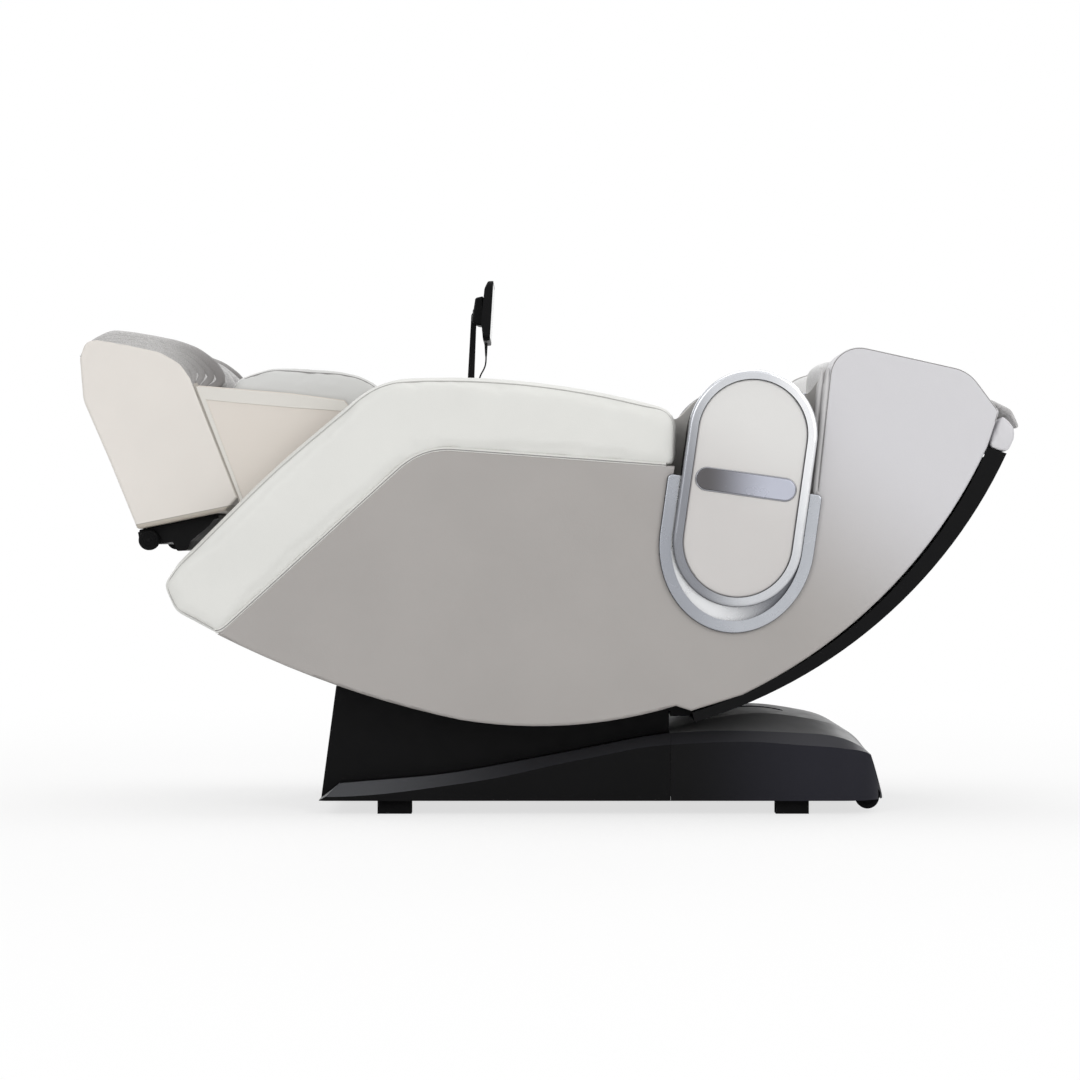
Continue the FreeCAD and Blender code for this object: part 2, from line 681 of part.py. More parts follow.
def inset(points, d):
    """An outline drawn in by a distance, corner by corner, with its corner radii drawn in too."""
    moved = []
    for i, p in enumerate(points):
        before = points[i - 1]
        after = points[(i + 1) % len(points)]
        a = V(p[0] - before[0], 0, p[1] - before[1])
        b = V(after[0] - p[0], 0, after[1] - p[1])
        a.normalize()
        b.normalize()
        share = d / (1 + a.dot(b))
        convex = a.x * b.z - a.z * b.x > 0
        r = p[2] - d if convex else p[2] + d
        moved.append((p[0] - (a.z + b.z) * share, p[1] + (a.x + b.x) * share, max(r, MIN_CORNER_R)))
    return moved


def lofted(stations):
    """Ruled solid through outlines at rising y."""
    wires = []
    for y, points in stations:
        wire = outline(points)
        wire.translate(V(0, y, 0))
        wires.append(wire)
    return Part.makeLoft(wires, True, True)


def cushion(profile, half, draw):
    """Padded block across the chair. profile gives its outline for a crown; the sides are drawn in."""
    rising = [(half, inset(profile(0), draw)), (half - draw, profile(0)),
              (half / 2, profile(CUSHION_CROWN * 3 / 4))]
    stations = [(-y, points) for y, points in rising] + [(0, profile(CUSHION_CROWN))]
    return lofted(stations + rising[::-1])


def slope_point(start, slope, run, depth):
    """Point at a run along a sloping surface, and a depth square below it."""
    c = cos(radians(slope))
    n = sin(radians(slope))
    return (start[0] + c * run + n * depth, start[1] + n * run - c * depth)


def seat_point(run, depth):
    return slope_point(KNEE, -SEAT_SLOPE, run, depth)


def back_point(run, depth):
    return slope_point(HIP, BACK_SLOPE, run, depth)


def seat_profile(crown):
    top = CUSHION_CROWN - crown
    places = [(0, CUSHION_THICK), (SEAT_LENGTH, CUSHION_THICK), (SEAT_LENGTH, top), (0, top)]
    return [seat_point(*place) + (r,) for place, r in zip(places, SEAT_CORNERS)]


def back_underside(run):
    """Depth of the back pad's underside, which tapers towards the head."""
    return CUSHION_THICK - BACK_TAPER * run / (BACK_LENGTH - BACK_TOP_CUT[0])


def back_profile(crown):
    top = CUSHION_CROWN - crown
    short, depth = BACK_TOP_CUT
    end = BACK_LENGTH - short
    places = [(0, CUSHION_THICK), (end, back_underside(end)), (BACK_LENGTH, depth), (BACK_LENGTH, top),
              (0, top)]
    return [back_point(*place) + (r,) for place, r in zip(places, BACK_CORNERS)]


def pillow_profile(crown):
    low = -LAY_GAP
    top = low - PILLOW_THICK + CUSHION_CROWN - crown
    start, end = PILLOW_RUNS
    low_r, top_r = PILLOW_CORNERS
    return [back_point(start, low) + (low_r,), back_point(end, low) + (low_r,),
            back_point(end - PILLOW_SLANT, top) + (top_r,), back_point(start + PILLOW_SLANT, top) + (top_r,)]


def back_cushion():
    """Back pad with a curved groove behind it for the massage rollers."""
    body = cushion(back_profile, BACK_CUSHION_HALF, CUSHION_SIDE_DRAW)
    line = arc_band(*BACK_GROOVE_ENDS, BACK_GROOVE_R, RAIL_ARC_R)
    return body.cut(prism(line, -BACK_GROOVE_HALF, BACK_GROOVE_HALF))


def side_pad(points):
    """Inner pad on a liner, thinner towards its rim."""
    back = LINER_IN - LAY_GAP
    face = back - SIDE_PAD_THICK
    shoulder = (face + SIDE_PAD_THICK / 3, inset(points, SIDE_PAD_EDGE))
    return lofted([(face, inset(points, SIDE_PAD_DRAW)), shoulder, (back, points)])


def speaker():
    """Round speaker on the front of the head-side pad."""
    back = LINER_IN - 2 * LAY_GAP - SIDE_PAD_THICK
    face = back - SPEAKER_DEPTH
    return rounded_rim(rod(*SPEAKER, SPEAKER_R, face, back), face, SPEAKER_EDGE_R)


# Frames of the seat and back

def tube(x, z, r, half, wall=CROSS_TUBE_WALL):
    return rod(x, z, r, -half, half).cut(rod(x, z, r - wall, -half - OVER, half + OVER))


def bar_plate(start, end, half, y0, y1):
    """Flat bar between two centres, in a plane square to Y."""
    run = V(end[0] - start[0], 0, end[1] - start[1])
    run.normalize()
    side = (-run.z * half, run.x * half)
    return prism([(start[0] + side[0], start[1] + side[1]), (start[0] - side[0], start[1] - side[1]),
                  (end[0] - side[0], end[1] - side[1]), (end[0] + side[0], end[1] + side[1])], y0, y1)


def each_side(y0, y1):
    """The two spans of y that mirror each other."""
    return [(y0, y1), (-y1, -y0)]


def seat_pan(half):
    """Pan under the seat cushion, slotted at the front for the leg actuator's rod."""
    low = CUSHION_THICK + CUSHION_LIFT
    deep = low + PAN_THICK
    start, end = PAN_RUNS
    corners = [(start, low), (start, deep), (end, deep), (end, low)]
    pan = prism([seat_point(*place) for place in corners], -half, half)
    slot_end, slot_half = PAN_SLOT
    corners = [(0, low - OVER), (0, deep + OVER), (slot_end, deep + OVER), (slot_end, low - OVER)]
    return pan.cut(prism([seat_point(*place) for place in corners], -slot_half, slot_half))


def seat_frame():
    """Two side plates with cross tubes, carrying the seat pan, both pivots and the leg actuator."""
    inner = SEAT_PLATE_OUT - PLATE
    reach = inner + OVER
    rise = CUSHION_THICK - PLATE_RISE
    ends = (0, SEAT_LENGTH - SEAT_PLATE_SHORT)
    line = [seat_point(run, rise) + (SEAT_PLATE_CORNER,) for run in ends] + SEAT_PLATE_TAIL
    pieces = [prism(line, inner, SEAT_PLATE_OUT), rod(*PIVOT, LOBE_R, inner, SEAT_PLATE_OUT),
              rod(*LEG_PIVOT, LEG_LOBE_R, inner, SEAT_PLATE_OUT)]
    pieces += [rod(x, z, CROSS_TUBE_R + PLATE, inner, SEAT_PLATE_OUT) for x, z in CROSS_TUBES]
    holes = [rod(*PIVOT, SHAFT_R + SEAT_GAP, 0, SHELL_IN), rod(*LEG_PIVOT, LEG_PIN_R + SEAT_GAP, 0, SHELL_IN)]
    holes += [rod(x, z, BOLT_R + SEAT_GAP, 0, SHELL_IN) for x, z in BOLTS]
    plate = joined(pieces).cut(holes)
    tubes = [tube(x, z, CROSS_TUBE_R, reach) for x, z in CROSS_TUBES]
    shaft = rod(*LEG_ACTUATOR_ANCHOR, LEG_SHAFT_R, -reach, reach)
    return joined([plate, mirrored(plate)] + tubes + [shaft, seat_pan(reach)])


def back_frame():
    """Two side plates tied by cross tubes, with flanges under the back pad and the bent massage rails."""
    inner = HINGE_PLATE_OUT - PLATE
    plate = prism(BACK_PLATE_LINE, inner, HINGE_PLATE_OUT)
    holes = [rod(x, z, BOLT_R + SEAT_GAP, 0, SHELL_IN) for x, z in BOLTS]
    plate = plate.cut(holes + [rod(*CROSS_TUBES[1], CROSS_TUBE_R + LAY_GAP, 0, SHELL_IN)])
    upper = [(run, back_underside(run) + CUSHION_LIFT) for run in FLANGE_RUNS]
    lower = [(run, depth + WALL) for run, depth in reversed(upper)]
    flange = prism([back_point(*place) for place in upper + lower], FLANGE_IN, inner + OVER)
    first, last = RAIL_ENDS
    tie_r = RAIL_ARC_R + RAIL_HALF_DEPTH + TIE_R - OVER
    low_tie = tube(*arc_point(first + TIE_INSET, tie_r), TIE_R, inner + OVER)
    high_tie = tube(*arc_point(last - TIE_INSET, tie_r), TIE_R, LINER_IN - LAY_GAP)
    band = arc_band(first, last, RAIL_ARC_R - RAIL_HALF_DEPTH, RAIL_ARC_R + RAIL_HALF_DEPTH)
    rail = prism(band, RAIL_IN_Y, RAIL_IN_Y + RAIL_WIDTH)
    groove = arc_band(first + GROOVE_INSET, last - GROOVE_INSET, RAIL_ARC_R - GROOVE_HALF,
                      RAIL_ARC_R + GROOVE_HALF)
    rail = rail.cut(prism(groove, RAIL_IN_Y - OVER, RAIL_IN_Y + GROOVE_DEPTH))
    sides = [plate, mirrored(plate), flange, mirrored(flange), rail, mirrored(rail)]
    return joined(sides + [low_tie, high_tie])


def frame_bolts():
    """Bolts with spacers that hold the back frame to the seat frame, a pair on each side."""
    inner = HINGE_PLATE_OUT - PLATE
    bolts = []
    for x, z in BOLTS:
        head = rod(x, z, BOLT_HEAD_R, inner - BOLT_HEAD - LAY_GAP, inner - LAY_GAP)
        shank = rod(x, z, BOLT_R, inner - BOLT_HEAD, SEAT_PLATE_OUT - LAY_GAP)
        spacer = rod(x, z, BOLT_HEAD_R, HINGE_PLATE_OUT + LAY_GAP, SEAT_PLATE_OUT - PLATE - LAY_GAP)
        bolt = joined([head, shank, spacer])
        bolts += [bolt, mirrored(bolt)]
    return Part.makeCompound(bolts)


def pivot_shafts():
    """The collared recline shaft through the hip, and the two knee pins of the leg rest."""
    collar = (HINGE_PLATE_OUT + LAY_GAP, SEAT_PLATE_OUT - PLATE - LAY_GAP)
    pieces = [rod(*PIVOT, SHAFT_R, -SEAT_PLATE_OUT, SEAT_PLATE_OUT)]
    pieces += [rod(*PIVOT, COLLAR_R, y0, y1) for y0, y1 in each_side(*collar)]
    shaft = joined(pieces).cut(rod(*PIVOT, SHAFT_BORE, -SHELL_IN, SHELL_IN))
    knee_spans = each_side(LEG_ARM_OUT - PLATE - PIN_END, SEAT_PLATE_OUT)
    knee = [rod(*LEG_PIVOT, LEG_PIN_R, y0, y1) for y0, y1 in knee_spans]
    return Part.makeCompound([shaft] + knee)


def lever_pin_place():
    a = radians(LEVER_BACK_ANGLE)
    return (PIVOT[0] - LEVER_ARM * sin(a), PIVOT[1] - LEVER_ARM * cos(a))


def recline_lever():
    """Two ears on the recline shaft, joined by the pin that the actuator pushes."""
    place = lever_pin_place()
    inner = ROD_EYE_HALF + CLEVIS_GAP
    outer = inner + LEVER_EAR
    end_r = ROD_EYE_R - LEVER_STEP
    pieces = [rod(*place, LEVER_PIN_R, -outer, outer)]
    for y0, y1 in each_side(inner, outer):
        pieces += [rod(*PIVOT, LOBE_R - LEVER_STEP, y0, y1), rod(*place, end_r, y0, y1),
                   bar_plate(PIVOT, place, end_r, y0, y1)]
    return joined(pieces).cut(rod(*PIVOT, SHAFT_R + SEAT_GAP, -outer - OVER, outer + OVER))


# Actuators

def actuator(anchor, target, body_r, rod_r, pin_r, end):
    """Linear actuator: eye, screw tube with a blind bore for its rod, gearbox and a motor beside it."""
    def at(distance):
        return along(anchor, target, distance)

    box_start = body_r + GEARBOX_GAP
    box_end = box_start + GEARBOX_LENGTH
    box_half = body_r + GEARBOX_STEP
    pieces = [rod(*anchor, body_r - ACTUATOR_EYE_STEP, -ACTUATOR_EYE_HALF, ACTUATOR_EYE_HALF),
              bar(at(ACTUATOR_TUBE_START), at(end), body_r),
              bar_plate(at(box_start), at(box_end), box_half, -box_half, MOTOR_OFFSET + MOTOR_R),
              bar(at(box_end - OVER), at(box_end + MOTOR_LENGTH), MOTOR_R, MOTOR_OFFSET)]
    bore = bar(at(body_r + BORE_START), at(end + OVER), rod_r + RUN_GAP)
    eye = rod(*anchor, pin_r + RUN_GAP, -SHELL_IN, SHELL_IN)
    return joined(pieces).cut([bore, eye])


def recline_actuator():
    target = lever_pin_place()
    return actuator(RECLINE_ANCHOR, target, ACTUATOR_R, ACTUATOR_ROD_R, ACTUATOR_PIN_R, ACTUATOR_END)


def recline_rod():
    """Rod of the recline actuator, its eye loose round the lever's pin."""
    place = lever_pin_place()
    hole = LEVER_PIN_R + LEVER_PIN_CLEARANCE
    reach = hypot(place[0] - RECLINE_ANCHOR[0], place[1] - RECLINE_ANCHOR[1])
    start = along(RECLINE_ANCHOR, place, RECLINE_ROD_START)
    shank = bar(start, along(RECLINE_ANCHOR, place, reach - hole - OVER), ACTUATOR_ROD_R)
    eye = rod(*place, ROD_EYE_R, -ROD_EYE_HALF, ROD_EYE_HALF)
    return joined([shank, eye]).cut(rod(*place, hole, -ACTUATOR_EYE_HALF, ACTUATOR_EYE_HALF))


def leg_pin_place():
    a = radians(LEG_LEVER_ANGLE)
    return leg(LEG_LEVER * cos(a), LEG_LEVER * sin(a))


def legrest_actuator():
    target = leg_pin_place()
    return actuator(LEG_ACTUATOR_ANCHOR, target, LEG_ACTUATOR_R, LEG_ROD_R, LEG_SHAFT_R, LEG_ACTUATOR_END)


def legrest_rod():
    """Rod of the leg actuator, whose cross pin rides in the lug's slot."""
    place = leg_pin_place()
    outer = ROD_EYE_HALF + CLEVIS_GAP + PLATE + PIN_END
    return joined([bar(along(LEG_ACTUATOR_ANCHOR, place, LEG_ROD_START), place, LEG_ROD_R),
                   rod(*place, LEG_ROD_R + ROD_EYE_WALL, -ROD_EYE_HALF, ROD_EYE_HALF),
                   rod(*place, LEG_ROD_PIN_R, -outer, outer)])


# Leg rest

def legrest_frame():
    """Welded frame on the knee pins: two arms, a base plate, rail tubes and the slotted actuator lug."""
    inner = LEG_ARM_OUT - PLATE
    low, top = LEG_PLATE_T
    arm = prism(leg_line(LEG_ARM_LINE), inner, LEG_ARM_OUT)
    arm = joined([arm, rod(*LEG_PIVOT, LEG_LOBE_R, inner, LEG_ARM_OUT)])
    arm = arm.cut(rod(*LEG_PIVOT, LEG_PIN_R + RUN_GAP, 0, SHELL_IN))
    wide = CALF_HALF - WALL - LAY_GAP
    narrow_start, wide_start, plate_end = LEG_PLATE_S
    plates = []
    for s0, half in ((narrow_start, inner + OVER), (wide_start, wide)):
        line = [(s0, low), (plate_end, low), (plate_end, top), (s0, top)]
        plates.append(prism(leg_line(line), -half, half))
    start, end = RAIL_TUBE_RUN
    tubes = [bar(leg(start, RAIL_T), leg(end, RAIL_T), RAIL_OUT_R, y) for y in (RAIL_Y, -RAIL_Y)]
    bores = [bar(leg(start + WALL - OVER, RAIL_T), leg(end + OVER, RAIL_T), RAIL_ROD_R + RUN_GAP, y)
             for y in (RAIL_Y, -RAIL_Y)]
    clevis = ROD_EYE_HALF + CLEVIS_GAP
    lugs = [prism(leg_line(LUG_LINE), y0, y1) for y0, y1 in each_side(clevis, clevis + PLATE)]
    slot_r = LEG_ROD_PIN_R + LEG_SLOT_SIDE
    rise = LEG_LEVER * sin(radians(LEG_LEVER_ANGLE))
    ends = (leg(LEG_LEVER - LEG_SLOT_IN, rise), leg(LEG_LEVER + LEG_SLOT_OUT, rise))
    reach = clevis + PLATE + OVER
    slot = [rod(*place, slot_r, -reach, reach) for place in ends] + [bar_plate(*ends, slot_r, -reach, reach)]
    body = joined([arm, mirrored(arm)] + plates + tubes + lugs)
    return body.cut(bores + [joined(slot)])


def calf_housing():
    """Moulded housing round the calf cushion: two side panels and a floor, open above."""
    body = prism(leg_line(CALF_PANEL_LINE), -CALF_HALF, CALF_HALF)
    inside = CALF_HALF - WALL
    room = prism(leg_line(CALF_ROOM_LINE), -inside, inside)
    return body.cut([room, prism(leg_line(LUG_OPENING_LINE), -LUG_OPENING_HALF, LUG_OPENING_HALF)])


def calf_cushion():
    """Calf pads: two deep wells between side walls and a middle ridge."""
    half = CALF_CUSHION_HALF
    body = prism(leg_line(CALF_CUSHION_LINE), -half, half)
    body = rounded_rim(rounded_rim(body, half, CALF_EDGE_R), -half, CALF_EDGE_R)
    wells = []
    for y0, y1 in each_side(*CALF_WELL):
        well = block(-CALF_WELL_REACH, CALF_WELL_REACH, y0, y1, CALF_FLOOR, CALF_FLOOR + CALF_WELL_DEPTH)
        low = [e for e in well.Edges if e.BoundBox.ZMax < CALF_FLOOR + 0.01 and e.BoundBox.XLength > 1]
        wells.append(leg_solid(well.makeFillet(CALF_WELL_R, low)))
    return body.cut(wells)


# Foot rest

def foot_housing():
    """Foot shell: side walls, sole and heel walls, open towards the calves and above."""
    body = prism(leg_line(FOOT_LINE), -FOOT_HALF, FOOT_HALF)
    body = rounded_rim(rounded_rim(body, FOOT_HALF, FOOT_EDGE_R), -FOOT_HALF, FOOT_EDGE_R)
    inside = FOOT_HALF - WALL
    face = Part.Face(outline(leg_line(FOOT_LINE))).makeOffset2D(-WALL)
    return body.cut([face_prism(face, -inside, inside), prism(leg_line(FOOT_OPEN_LINE), -inside, inside)])


def foot_liner():
    """Padded foot pockets with their rising side walls and middle ridge."""
    body = prism(leg_line(FOOT_LINER_LINE), -FOOT_LINER_HALF, FOOT_LINER_HALF)
    return body.cut([prism(leg_line(FOOT_WELL_LINE), y0, y1) for y0, y1 in each_side(*FOOT_WELL)])


def foot_rails():
    """Two guide rods that slide in the leg rest's tubes, on a cross plate in the foot shell."""
    inside = FOOT_HALF - WALL - LAY_GAP
    rod_end = leg(RAIL_PLATE_LINE[0][0] + OVER, RAIL_T)
    rods = [bar(leg(RAIL_ROD_START, RAIL_T), rod_end, RAIL_ROD_R, y) for y in (RAIL_Y, -RAIL_Y)]
    return joined(rods + [prism(leg_line(RAIL_PLATE_LINE), -inside, inside)])


def foot_base():
    """Base under the foot shell, with a neck up to the shell and the wheels' stub axles."""
    end = FOOT_BASE_HALF + FOOT_WHEEL_GAP + FOOT_WHEEL_WIDTH + AXLE_END
    neck = prism(FOOT_NECK_LINE, -FOOT_NECK_HALF, FOOT_NECK_HALF)
    shell = face_prism(Part.Face(outline(leg_line(FOOT_LINE))).makeOffset2D(LAY_GAP), -FOOT_HALF, FOOT_HALF)
    body = prism(FOOT_BASE_LINE, -FOOT_BASE_HALF, FOOT_BASE_HALF)
    return joined([body, neck.cut(shell), rod(*FOOT_WHEEL, FOOT_AXLE_R, -end, end)])


def wheel(place, r, axle_r, y0, y1, edge_r):
    """Bored wheel or roller with rounded rims."""
    body = rounded_rim(rounded_rim(rod(*place, r, y0, y1), y0, edge_r), y1, edge_r)
    return body.cut(rod(*place, axle_r + RUN_GAP, y0 - OVER, y1 + OVER))


def foot_wheel():
    start = FOOT_BASE_HALF + FOOT_WHEEL_GAP
    return wheel(FOOT_WHEEL, FOOT_WHEEL_R, FOOT_AXLE_R, start, start + FOOT_WHEEL_WIDTH, WHEEL_EDGE_R)


# Massage carriage

def massage_carriage():
    """Climbing carriage: floor, two cheeks with guide pegs, lugs for the kneading arms, motor behind."""
    a0 = CARRIAGE_AT - CARRIAGE_HALF_ANGLE
    a1 = CARRIAGE_AT + CARRIAGE_HALF_ANGLE
    floor = RAIL_ARC_R + RAIL_HALF_DEPTH - CARRIAGE_LAP
    pieces = [prism(arc_band(a0, a1, floor, floor + CHEEK), -CARRIAGE_HALF_Y, CARRIAGE_HALF_Y)]
    for y0, y1 in each_side(CARRIAGE_HALF_Y - CHEEK, CARRIAGE_HALF_Y):
        pieces.append(prism(arc_band(a0, a1, RAIL_ARC_R - RAIL_HALF_DEPTH, floor + OVER), y0, y1))
    for y0, y1 in each_side(CARRIAGE_HALF_Y - PEG_ROOT, RAIL_IN_Y + GROOVE_DEPTH - OVER):
        pieces += [rod(*arc_point(a, RAIL_ARC_R), PEG_R, y0, y1) for a in (a0 + PEG_INSET, a1 - PEG_INSET)]
    lug_line = arc_band(CARRIAGE_AT - LUG_HALF_ANGLE, CARRIAGE_AT + LUG_HALF_ANGLE, KNEAD_R - LUG_TOP,
                        floor + OVER)
    for y0, y1 in each_side(ARM_Y - LUG_GAP - LUG_WIDTH, ARM_Y - LUG_GAP):
        pieces.append(prism(lug_line, y0, y1))
    for y0, y1 in each_side(ARM_Y - 2 * LUG_GAP, ARM_Y + ARM_THICK + KNEAD_PIN_END):
        pieces.append(rod(*arc_point(CARRIAGE_AT, KNEAD_R), KNEAD_PIN_R, y0, y1))
    spread, depth, half = MOTOR_BLOCK
    block_line = arc_band(CARRIAGE_AT - spread, CARRIAGE_AT + spread, floor + CHEEK - OVER,
                          floor + CHEEK + depth)
    return joined(pieces + [prism(block_line, -half, half)])


def kneading_arm():
    """Rocking arm with a roller axle at each end."""
    outer = ARM_Y + ARM_THICK
    hub = arc_point(CARRIAGE_AT, KNEAD_R)
    pieces = [rod(*hub, KNEAD_HUB_R, ARM_Y, outer)]
    for spread in (-ROLLER_SPREAD, ROLLER_SPREAD):
        end = arc_point(CARRIAGE_AT + spread, ROLLER_LINE_R)
        pieces += [rod(*end, KNEAD_END_R, ARM_Y, outer), bar_plate(hub, end, KNEAD_BAR_HALF, ARM_Y, outer),
                   rod(*end, ROLLER_AXLE_R, outer - OVER, outer + ROLLER_WIDTH + ROLLER_AXLE_END)]
    return joined(pieces).cut(rod(*hub, KNEAD_PIN_R + RUN_GAP, ARM_Y - OVER, outer + OVER))


def massage_roller(spread):
    place = arc_point(CARRIAGE_AT + spread, ROLLER_LINE_R)
    start = ARM_Y + ARM_THICK + ROLLER_GAP
    return wheel(place, ROLLER_R, ROLLER_AXLE_R, start, start + ROLLER_WIDTH, ROLLER_EDGE_R)


# Base

def cover_profile(profile, y, d):
    """Side outline of a base cover at one y, drawn in by d: wavy top, free end, floor line, seam end."""
    points = [V(x, y, z - d) for x, z in profile]
    floor = FLOOR_GAP - 2 * d
    rear = profile[-1][0] > BASE_SEAM_X
    if rear:
        points[-1].x -= d
        points[0].x -= SEAM_REACH if d else 0
        low = [V(BASE_REAR - d, y, floor), V(points[0].x, y, floor)]
    else:
        points[0].x += d
        points[-1].x += SEAM_REACH if d else 0
        low = [V(points[-1].x, y, floor), V(BASE_FRONT_X + d, y, floor)]
    top = Part.BSplineCurve()
    top.interpolate(points)
    corners = [points[-1]] + low + [points[0]]
    lines = [Part.makeLine(a, b) for a, b in zip(corners, corners[1:])]
    return Part.Wire([top.toShape()] + lines)


def skirt(low, top, crown, d):
    """Cover body with its chamfered band, drawn in by d."""
    halves = [(SKIRT_HALF - d, low), (BAND_TOP_HALF - d, top)]
    if crown:
        halves.append((CROWN_HALF - d, crown))
    stations = [(-y, profile) for y, profile in halves] + [(y, profile) for y, profile in reversed(halves)]
    return Part.makeLoft([cover_profile(profile, y, d) for y, profile in stations], True, True)


def tall_edges(body):
    """The upright edges of a block as tall as TALL_SPAN."""
    return [e for e in body.Edges if e.BoundBox.ZLength > TALL_SPAN[1]]


def plan_limits(x0, x1, r_front, r_rear, d):
    """Tall prism of a cover's plan outline, drawn in by d."""
    half = SKIRT_HALF - d
    body = block(x0, x1, -half, half, *TALL_SPAN)
    if r_front:
        return body.makeFillet(r_front, [e for e in tall_edges(body) if e.BoundBox.XMax < x0 + OVER])
    return body.makeFillet(r_rear, [e for e in tall_edges(body) if e.BoundBox.XMin > x1 - OVER])


def front_base_cover():
    """Pedestal and front skirt in one moulding, open below and round the recline lever."""
    limits = plan_limits(BASE_FRONT_X, BASE_SEAM_X, PLAN_CORNER_FRONT, 0, 0)
    pedestal = prism(PEDESTAL_LINE, -PEDESTAL_HALF, PEDESTAL_HALF)
    body = skirt(BAND_LOW, BAND_TOP, None, 0).common(limits)
    body = joined([body, pedestal])
    front = BASE_FRONT_X + WALL
    room_limits = plan_limits(front, BASE_SEAM_X + SEAM_REACH, PLAN_CORNER_FRONT - WALL, 0, WALL)
    room = skirt(BAND_LOW, BAND_TOP, None, WALL).common(room_limits)
    inside = PEDESTAL_HALF - WALL
    deep = [p if p[1] > FLOOR_GAP else (p[0], p[1] - 2 * WALL) for p in PEDESTAL_LINE]
    pedestal_room = face_prism(Part.Face(outline(deep)).makeOffset2D(-WALL), -inside, inside)
    start, end = PEDESTAL_OPENING
    opening = block(start, end, -inside, inside, OPENING_LOW, TALL_SPAN[1])
    return body.cut([room, pedestal_room, opening])


def rear_base_cover():
    """Rear skirt and crown, with the wheel pockets, the window of the power inlet and the top recess."""
    x0 = BASE_SEAM_X + COVER_GAP
    limits = plan_limits(x0, BASE_REAR, 0, PLAN_CORNER_REAR, 0)
    body = skirt(REAR_LOW, REAR_TOP, REAR_CROWN, 0).common(limits)
    room_limits = plan_limits(x0 - SEAM_REACH, BASE_REAR - WALL, 0, PLAN_CORNER_REAR - WALL, WALL)
    room = skirt(REAR_LOW, REAR_TOP, REAR_CROWN, WALL).common(room_limits)
    low, high, half, depth = RECESS
    recess = block(low, high, -half, half, *TALL_SPAN)
    under = block(low, high, -half, half, TALL_SPAN[0], BELOW_CROWN)
    below = skirt(REAR_LOW, REAR_TOP, REAR_CROWN, depth).fuse(under)
    recess = recess.makeFillet(half - OVER, tall_edges(recess)).cut(below)
    cuts = [room, recess, block(INLET_LINE[0][0], BASE_REAR + OVER, -INLET_HALF, INLET_HALF, *INLET_Z)]
    pocket_r = WHEEL_R + WHEEL_POCKET_GAP
    for y0, y1 in each_side(WHEEL_Y[0] - WHEEL_POCKET_GAP, WHEEL_Y[1] + WHEEL_POCKET_GAP):
        cuts.append(rod(*WHEEL, pocket_r, y0, y1))
    return body.cut(cuts)


def base_frame():
    """Steel base: runners, cross bars over the feet, a deck, the recline plates, clevis and wheel axles."""
    x0, x1 = RUNNER_X
    pieces = [block(x0, x1, y0, y1, FOOT_BLOCK_TOP, RUNNER_TOP) for y0, y1 in each_side(*RUNNER_Y)]
    for low, high in FOOT_BLOCKS:
        pieces.append(block(low - CROSS_BAR_EXTRA, high + CROSS_BAR_EXTRA, -CROSS_BAR_OUT, CROSS_BAR_OUT,
                            FOOT_BLOCK_TOP, DECK_BOTTOM))
    deck_top = DECK_BOTTOM + DECK_THICK
    pieces.append(block(x0, DECK_END, -RUNNER_Y[1], RUNNER_Y[1], DECK_BOTTOM, deck_top))
    foot0, foot1 = HINGE_PLATE_FOOT
    neck = LOBE_R - OVER
    line = [(foot0, DECK_BOTTOM), (PIVOT[0] - neck, PIVOT[1]), (PIVOT[0] + neck, PIVOT[1]),
            (foot1, DECK_BOTTOM)]
    bore = rod(*PIVOT, SHAFT_R + RUN_GAP, -SHELL_IN, SHELL_IN)
    for y0, y1 in each_side(HINGE_PLATE_OUT - HINGE_PLATE, HINGE_PLATE_OUT):
        pieces += [prism(line, y0, y1), rod(*PIVOT, LOBE_R, y0, y1)]
    ax, az = RECLINE_ANCHOR
    inner = ACTUATOR_EYE_HALF + CLEVIS_GAP
    for y0, y1 in each_side(inner, inner + ANCHOR_EAR):
        pieces += [block(ax - ANCHOR_EAR_R, ax + ANCHOR_EAR_R, y0, y1, DECK_BOTTOM, az),
                   rod(ax, az, ANCHOR_EAR_R, y0, y1)]
    pieces.append(rod(ax, az, ACTUATOR_PIN_R, -inner - OVER, inner + OVER))
    for y0, y1 in each_side(RUNNER_Y[1] - WHEEL_AXLE_ROOT, WHEEL_Y[1] + AXLE_END):
        pieces.append(rod(*WHEEL, WHEEL_AXLE_R, y0, y1))
    return joined(pieces).cut(bore)


def base_feet():
    """Rubber foot blocks, flush under the cross bars."""
    y0, y1 = FOOT_BLOCK_Y
    return Part.makeCompound([block(low, high, *span, 0, FOOT_BLOCK_TOP)
                              for low, high in FOOT_BLOCKS for span in each_side(y0, y1)])


def boxed_unit(span, half, top):
    """Closed unit that lies on the deck, its upper edges rounded."""
    body = block(*span, -half, half, DECK_BOTTOM + DECK_THICK + LAY_GAP, top)
    return body.makeFillet(UNIT_EDGE_R, [e for e in body.Edges if e.BoundBox.ZMin > top - 0.01])


def power_inlet():
    """Inlet plate in the rear cover's window, with its socket and the switch's round seat."""
    half = INLET_HALF - COVER_GAP
    body = prism(INLET_LINE, -half, half)
    socket = block(SOCKET_FLOOR, BASE_REAR, *SOCKET_Y, *SOCKET_Z)
    return body.cut([socket, rod(*ROCKER, ROCKER_R + RUN_GAP, *ROCKER_Y)])


def power_switch():
    """Rocker drum, its face a shallow notch."""
    y0, y1 = ROCKER_Y
    edge, middle = ROCKER_FACE
    x, z = ROCKER
    low, high = z - ROCKER_R - OVER, z + ROCKER_R + OVER
    behind = x - 2 * ROCKER_R
    keep = prism([(behind, low), (edge, low), (middle, z), (edge, high), (behind, high)], y0, y1)
    return rod(x, z, ROCKER_R, y0 + RUN_GAP, y1 - RUN_GAP).common(keep)


# Tablet

